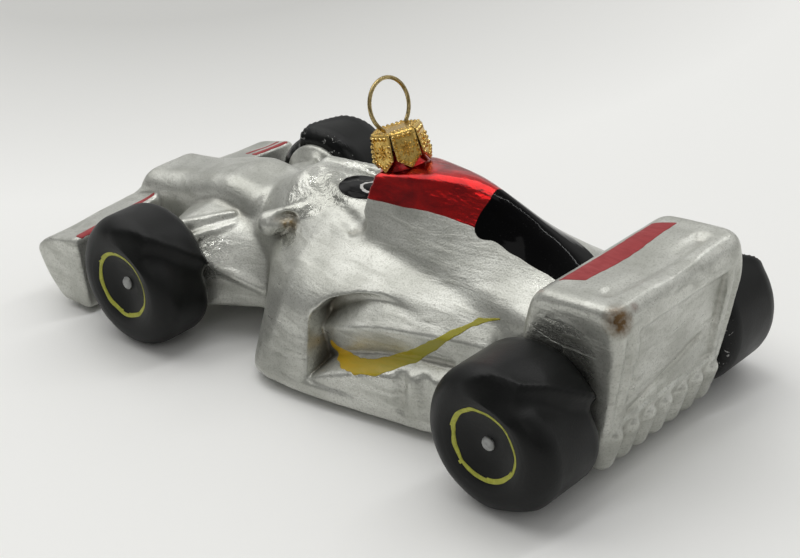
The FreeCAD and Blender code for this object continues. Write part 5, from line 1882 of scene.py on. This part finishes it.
    def make(self, finishes: Finishes) -> None:
        """Build the tyre, its painted ring and its hub.

        Args:
            finishes: The finishes to use.
        """
        skin = self.surface()
        ring = self._round_region(self.ring_radius - self.ring_width,
                                  self.ring_radius + self.ring_width, self.ring_waver)
        hub = self._round_region(-1.0, self.hub_radius, self.hub_waver)
        skin.cut(ring)
        skin.cut(hub)
        normals = skin.normals()
        wet = fade(self.inner + 2.6 - np.abs(skin.points[:, 0]), 0.0, 1.4)
        reach = np.hypot(skin.points[:, 1] - self.axle_y, skin.points[:, 2] - self.radius)
        wet *= fade(reach, 8.0, 10.0)
        made = skin.build(self.node + "_paint", finishes.tyre, normals, {"wet": wet})
        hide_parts(self.node)
        pieces = [made]
        for suffix, region, lift, finish in (("_ring", ring, self.ring_lift, finishes.ring),
                                             ("_hub", hub, self.hub_lift, finishes.hub)):
            coat = skin.coat(skin.inside(region), normals, lift, self.coat_sink)
            pieces.append(coat.build(self.node + suffix, finish))
        for piece in pieces:
            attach(piece, Body.GLASS.value)
            LOG.info("%s: %d faces", piece.name, len(piece.data.polygons))


TYRES = (
    Tyre("tyre_front_left", 1, 20.9, 13.5, -37.5, 61,
         ((13.4, 96.0), (11.1, 58.0), (5.4, 31.0), (0.0, 14.0))),
    Tyre("tyre_front_right", -1, 20.9, 13.5, -37.5, 62,
         ((13.4, 120.0), (9.0, 84.0), (0.0, 60.0))),
    Tyre("tyre_rear_left", 1, 17.7, 17.1, 53.4, 63,
         ((17.0, 110.0), (13.6, 66.0), (6.0, 40.0), (0.0, 26.0))),
    Tyre("tyre_rear_right", -1, 17.7, 17.1, 53.4, 64,
         ((17.0, 140.0), (10.0, 120.0), (0.0, 100.0))),
)


# Neck, crown cap and hanger


@dataclass(frozen=True)
class Crown:
    """Stamped cap with six petals, seated on the leaning neck, and its wire."""

    y: float = 5.3
    z: float = 45.3
    lean: float = 16.0
    flat: float = 4.4
    sheet: float = 0.3
    petals: int = 6
    petal_half: float = 2.32
    petal_straight: float = 4.5
    petal_point: float = 1.9
    flare: float = 7.0
    bend: float = 0.55
    bead: float = 0.38
    bead_pitch: float = 0.84
    top_bead: float = 0.44
    top_pitch: float = 0.98
    bead_inset: float = 0.38
    rosette: int = 8
    rosette_radius: float = 1.42
    wire: float = 0.38
    leg_half: float = 3.0
    leg_foot: float = 11.0
    loop: float = 4.94
    loop_bend: float = 0.5
    loop_start: float = 0.25

    @property
    def stand(self) -> Matrix:
        """From the cap's own axes, in millimetres, to the car's frame in metres."""
        place = Matrix.Translation((0.0, self.y * MM, self.z * MM))
        return place @ Matrix.Rotation(math.radians(self.lean), 4, "X") @ Matrix.Scale(MM, 4)

    def _petal_path(self) -> list[tuple[float, float, float]]:
        """(outward, up, half width) down the outer side of a petal, from the plate's edge.

        Returns:
            The places along the petal.
        """
        path = []
        for angle in np.linspace(0.0, 90.0 - self.flare, 6):
            turn = math.radians(angle)
            path.append((self.flat - self.bend + self.bend * math.sin(turn),
                         self.bend * math.cos(turn) - self.bend, self.petal_half))
        lean = math.radians(self.flare)
        outward, up, _ = path[-1]
        for share in np.linspace(0.12, 1.0, 8):
            run = self.petal_straight * share
            path.append((outward + run * math.sin(lean), up - run * math.cos(lean),
                         self.petal_half))
        for share in (0.3, 0.6, 0.85, 1.0):
            run = self.petal_straight + self.petal_point * share
            path.append((outward + run * math.sin(lean), up - run * math.cos(lean),
                         self.petal_half * (1 - share) + 0.05))
        return path

    def _petal(self, turn: float) -> tuple[Array, Array]:
        """Closed thin sheet of one petal, turned about the cap's axis.

        Args:
            turn: Angle round the cap's axis.

        Returns:
            The points and the faces.
        """
        path = self._petal_path()
        across = np.linspace(-1.0, 1.0, 9)
        rows = []
        lean = math.radians(self.flare)
        for out, up, half in path:
            inward = np.array([-math.cos(lean), 0.0, -math.sin(lean)]) * self.sheet
            if up > -self.bend:
                inward = np.array([-0.5, 0.0, -0.8]) * self.sheet
            for share in across:
                outer = np.array([out, share * half, up])
                rows.append((outer, outer + inward))
        outer = np.array([row[0] for row in rows])
        inner = np.array([row[1] for row in rows])
        count = len(across)
        faces = []
        total = len(rows)
        for row in range(len(path) - 1):
            for column in range(count - 1):
                a = row * count + column
                faces.append((a, a + count, a + count + 1, a + 1))
                faces.append((a + total, a + 1 + total, a + count + 1 + total, a + count + total))
        for row in range(len(path) - 1):
            a, b = row * count, (row + 1) * count
            faces.append((a, a + total, b + total, b))
            a, b = a + count - 1, b + count - 1
            faces.append((a, b, b + total, a + total))
        for column in range(count - 1):
            a = column
            faces.append((a, a + 1, a + 1 + total, a + total))
            a = (len(path) - 1) * count + column
            faces.append((a, a + total, a + 1 + total, a + 1))
        return np.concatenate([outer, inner]) @ turned(turn), np.array(faces)

    def _bead(self, place: Array, axes: Array, half: Point) -> tuple[Array, Array]:
        """One stamped bead round a place, with a half size along each row of axes."""
        ball, faces = self._ball()
        return ball * half @ axes + place, faces

    def _beads(self) -> list[tuple[Array, Array]]:
        """Borders of beads and a flower on every petal, and a border round the plate.

        Returns:
            The points and faces of every bead.
        """
        path = self._petal_path()
        lean = math.radians(self.flare)
        start = np.array([path[5][0], 0.0, path[5][1]])
        down = np.array([math.sin(lean), 0.0, -math.cos(lean)])
        side = np.array([0.0, 1.0, 0.0])
        frame = np.stack([side, down, np.cross(side, down)])
        half, corner = self.petal_half - self.bead_inset, self.petal_straight
        tip = self.petal_straight + self.petal_point - self.bead_inset * 1.7
        rows = [(self.bead, self._beads_along([(-half, 1.1), (-half, corner), (0.0, tip),
                                               (half, corner), (half, 0.9)], self.bead_pitch)),
                (self.top_bead, self._beads_along([(-half, 0.35), (half + 0.1, 0.35)],
                                                  self.top_pitch))]
        middle = corner * 0.62
        beads = []
        for turn in turns(self.petals):
            spin = turned(turn)
            for radius, spots in rows:
                for across, along in spots:
                    place = (start + side * across + down * along) @ spin
                    beads.append(self._bead(place, frame @ spin, (radius, radius, radius)))
            for angle in turns(self.rosette):
                out = math.cos(angle) * side + math.sin(angle) * down
                round_it = -math.sin(angle) * side + math.cos(angle) * down
                place = start + down * middle + out * self.rosette_radius * 0.62
                axes = np.stack([out, round_it, np.cross(out, round_it)])
                beads.append(self._bead(place @ spin, axes @ spin, (0.58, 0.23, 0.34)))
            place = (start + down * middle) @ spin
            beads.append(self._bead(place, frame @ spin, (0.26, 0.26, 0.36)))
        reach = (self.flat - 0.55) / math.cos(math.pi / 6)
        ring = [(reach * math.cos(math.radians(30 + 60 * n)),
                 reach * math.sin(math.radians(30 + 60 * n))) for n in range(self.petals + 1)]
        for x, y in self._beads_along(ring, self.bead_pitch):
            beads.append(self._bead(np.array([x, y, 0.0]), np.eye(3), (0.34, 0.34, 0.30)))
            if abs(y) > 1.6:
                beads.append(self._bead(np.array([x, y, 0.0]) * 0.74, np.eye(3),
                                        (0.30, 0.30, 0.24)))
        return beads

    @staticmethod
    def _beads_along(outline: Sequence[Flat], pitch: float) -> list[Flat]:
        """Evenly spaced places along an outline.

        Args:
            outline: Corners of the outline.
            pitch: Distance between neighbours, about.

        Returns:
            The places.
        """
        spots = []
        for (a, b), (c, d) in zip(outline, outline[1:]):
            count = max(1, round(math.hypot(c - a, d - b) / pitch))
            for part in range(count):
                share = part / count
                spots.append((a + (c - a) * share, b + (d - b) * share))
        return spots

    @staticmethod
    def _ball() -> tuple[Array, Array]:
        """Small round bead of few faces and radius 1, as points and faces.

        Returns:
            The points and the faces.
        """
        around, levels = 8, 5
        turn = turns(around)
        rows = [np.array([[0.0, 0.0, 1.0]])]
        for angle in np.arange(1, levels) / levels * math.pi:
            rows.append(np.stack([math.sin(angle) * np.cos(turn), math.sin(angle) * np.sin(turn),
                                  np.full(around, math.cos(angle))], axis=1))
        rows.append(np.array([[0.0, 0.0, -1.0]]))
        points = np.concatenate(rows)
        faces = list(band(levels - 1, around, flipped=True) + 1)
        last = len(points) - 1
        for n in range(around):
            m = (n + 1) % around
            faces.append((0, 1 + n, 1 + m, 0))
            faces.append((last - around + n, last, last, last - around + m))
        return points, np.array(faces)

    def _plate(self) -> tuple[Array, Array]:
        """Hexagonal plate with a softened edge, which the wire's legs pass through.

        Returns:
            The points and the faces.
        """
        rings = ((0.0, -self.sheet), (0.88, -self.sheet), (0.97, -self.sheet),
                 (0.985, -self.sheet * 0.5), (0.97, 0.0), (0.88, 0.0), (0.0, 0.0))
        points = []
        count = 72
        for share, level in rings:
            for angle in turns(count):
                offset = (angle + math.pi / 6) % (math.pi / 3) - math.pi / 6
                reach = (self.flat - self.bend * 0.4) / math.cos(offset) * share
                points.append((reach * math.cos(angle), reach * math.sin(angle), level))
        return np.array(points), band(len(rings), count)

    def cap(self, finishes: Finishes) -> None:
        """Build the cap and its stamped beads.

        Args:
            finishes: The finishes to use.
        """
        parts = [self._plate()]
        parts += [self._petal(turn) for turn in turns(self.petals)]
        body = self._joined(parts).build("crown_cap_sheet", finishes.old_gold)
        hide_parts("crown_cap")
        # The beads take the brighter gold that paints their highlight.
        stamped = self._joined(self._beads()).build("crown_cap_beads", finishes.gold)
        for piece in (body, stamped):
            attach(piece, Body.CAP.value)
            LOG.info("%s: %d faces", piece.name, len(piece.data.polygons))

    def _joined(self, parts: Sequence[tuple[Array, Array]]) -> Surface:
        """Several point and face lists as one surface in the car's frame.

        Args:
            parts: Points and faces of each part.

        Returns:
            The surface.
        """
        points, faces, offset = [], [], 0
        for part_points, part_faces in parts:
            points.append(part_points)
            faces.append(part_faces + offset)
            offset += len(part_points)
        matrix = np.array(self.stand)
        moved = np.concatenate(points) @ matrix[:3, :3].T + matrix[:3, 3]
        return Surface(moved / MM, np.concatenate(faces))

    def _wire_path(self) -> Array:
        """Middle line of the wire: leg, bend, loop, bend, leg.

        Returns:
            The places along the wire, one row each.
        """
        bend_x = self.leg_half + self.loop_bend
        rise = math.sqrt((self.loop + self.loop_bend) ** 2 - bend_x ** 2)
        turn = math.atan2(rise, -bend_x)
        path = [(self.leg_half, 0.0, level)
                for level in np.linspace(-self.leg_foot, self.loop_start, 12)]
        for angle in np.linspace(math.pi, turn, 8)[1:]:
            path.append((bend_x + self.loop_bend * math.cos(angle), 0.0,
                         self.loop_start + self.loop_bend * math.sin(angle)))
        for angle in np.linspace(turn - math.pi, math.pi / 2, 40)[1:]:
            path.append((self.loop * math.cos(angle), 0.0,
                         self.loop_start + rise + self.loop * math.sin(angle)))
        half = np.array(path)
        return np.concatenate([half, half[::-1][1:] * (-1, 1, 1)])

    def collar(self, finishes: Finishes) -> None:
        """Red lacquer that runs up the foot of the neck, under the petals.

        Args:
            finishes: The finishes to use.
        """
        around = 64
        profile = [(4.02, -3.4), (4.04, -4.4), (4.10, -5.4), (4.26, -6.2), (4.60, -6.9),
                   (5.2, -7.6), (5.6, -8.6), (3.0, -9.0), (3.0, -3.4)]
        points = []
        for radius, level in profile:
            for turn in turns(around):
                waver = 0.12 * math.sin(3 * turn) if level > -4.0 else 0.0
                points.append((radius * math.cos(turn), radius * math.sin(turn), level + waver))
        faces = band(len(profile), around, flipped=True, closed=True)
        piece = self._joined([(np.array(points), faces)]).build(
            "neck_lacquer", finishes.red)
        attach(piece, Body.GLASS.value)
        LOG.info("%s: %d faces", piece.name, len(piece.data.polygons))

    def hanger(self, finishes: Finishes) -> None:
        """Build the wire hanger as one round bar along its path.

        Args:
            finishes: The finishes to use.
        """
        path = self._wire_path()
        ahead = np.gradient(path, axis=0)
        ahead /= np.linalg.norm(ahead, axis=1, keepdims=True)
        side = np.array([0.0, 1.0, 0.0])
        over = np.cross(ahead, side)
        around = 20
        rows = []
        for turn in turns(around):
            rows.append(path + self.wire * (math.cos(turn) * side + math.sin(turn) * over))
        points = np.stack(rows, axis=1).reshape(-1, 3)
        faces = list(band(len(path), around, flipped=True))
        ends = np.array([path[0], path[-1]])
        first = len(points)
        points = np.concatenate([points, ends])
        last = (len(path) - 1) * around
        for n in range(around):
            m = (n + 1) % around
            faces.append((first, n, m, first))
            faces.append((first + 1, last + m, last + n, first + 1))
        wire = self._joined([(points, np.array(faces))]).build("hanger_wire", finishes.brass)
        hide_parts("hanger")
        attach(wire, Body.HANGER.value)
        LOG.info("%s: %d faces", wire.name, len(wire.data.polygons))


# Stage, light and camera


@dataclass(frozen=True)
class Camera:
    """The photograph's viewpoint."""

    azimuth: float = 133.71
    elevation: float = 27.79
    roll: float = -3.19
    distance: float = 328.71
    target: Point = (-0.02, 4.3, 13.86)
    lens: float = 77.62

    def make(self) -> None:
        """Place the camera and make it the scene's own."""
        a, e, r = (math.radians(v) for v in (self.azimuth, self.elevation, self.roll))
        back = np.array([math.sin(a) * math.cos(e), -math.cos(a) * math.cos(e), math.sin(e)])
        level = np.array([math.cos(a), math.sin(a), 0.0])
        upright = np.cross(back, level)
        right = math.cos(r) * level + math.sin(r) * upright
        up = -math.sin(r) * level + math.cos(r) * upright
        data = bpy.data.cameras.new("photo_camera")
        data.lens = self.lens
        data.sensor_width = 36.0
        data.clip_start = 0.01
        camera = bpy.data.objects.new("photo_camera", data)
        place = (np.array(self.target) + back * self.distance) * MM
        camera.matrix_world = Matrix((
            (right[0], up[0], back[0], place[0]),
            (right[1], up[1], back[1], place[1]),
            (right[2], up[2], back[2], place[2]),
            (0.0, 0.0, 0.0, 1.0)))
        bpy.context.scene.collection.objects.link(camera)
        bpy.context.scene.camera = camera


@dataclass(frozen=True)
class Studio:
    """Pale table, soft lights and a dim room round them."""

    room: float = 1.0
    flag: float = 0.4
    table_size: float = 6.0

    def lights(self) -> None:
        """Soft boxes above and beside the car and a narrow tube overhead."""
        self._panel("ceiling", (0.05, -0.60, 1.05), (1.2, 1.2), 6.3, (1.0, 0.995, 0.98))
        self._panel("window", (0.75, 0.35, 0.70), (0.5, 0.5), 0.6, (1.0, 0.99, 0.97))
        self._panel("tube", (-0.30, 0.10, 0.95), (0.014, 1.1), 2.0, (1.0, 1.0, 1.0))

    @staticmethod
    def _panel(name: str, place: Point, size: Flat, power: float, colour: Point) -> None:
        """One area light aimed at the car.

        Args:
            name: Name of the light.
            place: Its place in metres.
            size: Its width and height.
            power: Its power in watts.
            colour: Its colour.
        """
        data = bpy.data.lights.new(name, "AREA")
        data.shape = "RECTANGLE"
        data.size, data.size_y = size
        data.energy = power
        data.color = colour
        light = bpy.data.objects.new(name, data)
        towards = np.array((0.0, 0.0, 0.015)) - np.array(place)
        light.location = place
        light.rotation_euler = Vector(towards).to_track_quat("-Z", "Y").to_euler()
        bpy.context.scene.collection.objects.link(light)

    def world(self) -> None:
        """Room that is bright overhead, darker near the horizon and on the car's left."""
        world = bpy.data.worlds.new("room")
        bpy.context.scene.world = world
        world.use_nodes = True
        nodes, links = world.node_tree.nodes, world.node_tree.links
        coordinates = nodes.new("ShaderNodeTexCoord")
        split = nodes.new("ShaderNodeSeparateXYZ")
        ramp = nodes.new("ShaderNodeValToRGB")
        links.new(coordinates.outputs["Generated"], split.inputs[0])
        links.new(split.outputs["Z"], ramp.inputs[0])
        stops = ((0.0, 0.20), (0.12, 0.28), (0.34, 0.58), (0.48, 0.66), (0.62, 0.42), (0.80, 0.52),
                 (1.0, 0.52))
        while len(ramp.color_ramp.elements) < len(stops):
            ramp.color_ramp.elements.new(0.5)
        for element, (spot, level) in zip(ramp.color_ramp.elements, stops):
            element.position = spot
            element.color = (level, level, level * 0.985, 1.0)
        shade = nodes.new("ShaderNodeMapRange")
        for key, value in (("From Min", -0.65), ("From Max", 0.65), ("To Min", 1.4),
                           ("To Max", self.flag)):
            shade.inputs[key].default_value = value
        links.new(split.outputs["X"], shade.inputs["Value"])
        background = nodes["Background"]
        dimmed = nodes.new("ShaderNodeVectorMath")
        dimmed.operation = "SCALE"
        links.new(ramp.outputs["Color"], dimmed.inputs[0])
        links.new(shade.outputs["Result"], dimmed.inputs["Scale"])
        links.new(dimmed.outputs["Vector"], background.inputs["Color"])
        background.inputs["Strength"].default_value = self.room

    @staticmethod
    def tone() -> None:
        """Plain tone curve, which keeps the black paint black."""
        view = bpy.context.scene.view_settings
        view.view_transform = "Standard"
        view.look = "None"

    def table(self, finishes: Finishes) -> None:
        """Wide board under the ornament.

        Args:
            finishes: The finishes to use.
        """
        half = self.table_size / 2
        mesh = bpy.data.meshes.new("table")
        mesh.from_pydata([(-half, -half, 0.0), (half, -half, 0.0), (half, half, 0.0),
                          (-half, half, 0.0)], [], [(0, 1, 2, 3)])
        mesh.materials.append(finishes.table)
        table = bpy.data.objects.new("table", mesh)
        bpy.context.scene.collection.objects.link(table)
        table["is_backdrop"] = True


def main() -> None:
    """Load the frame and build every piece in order."""
    logging.basicConfig(level=logging.INFO, format="%(name)s: %(message)s")
    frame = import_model()
    cad_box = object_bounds()
    finishes = Finishes()
    Camera().make()
    studio = Studio()
    studio.table(finishes)
    studio.lights()
    studio.world()
    studio.tone()
    GlassPieces(finishes, cad_box).make()
    for tyre in TYRES:
        tyre.make(finishes)
    crown = Crown()
    crown.cap(finishes)
    crown.hanger(finishes)
    crown.collar(finishes)
    neck = frame["nodes"]["neck"]
    neck.data.materials.clear()
    neck.data.materials.append(finishes.silver)
    LOG.info("frame nodes: %d", len(frame["nodes"]))


if __name__ == "__main__":
    main()
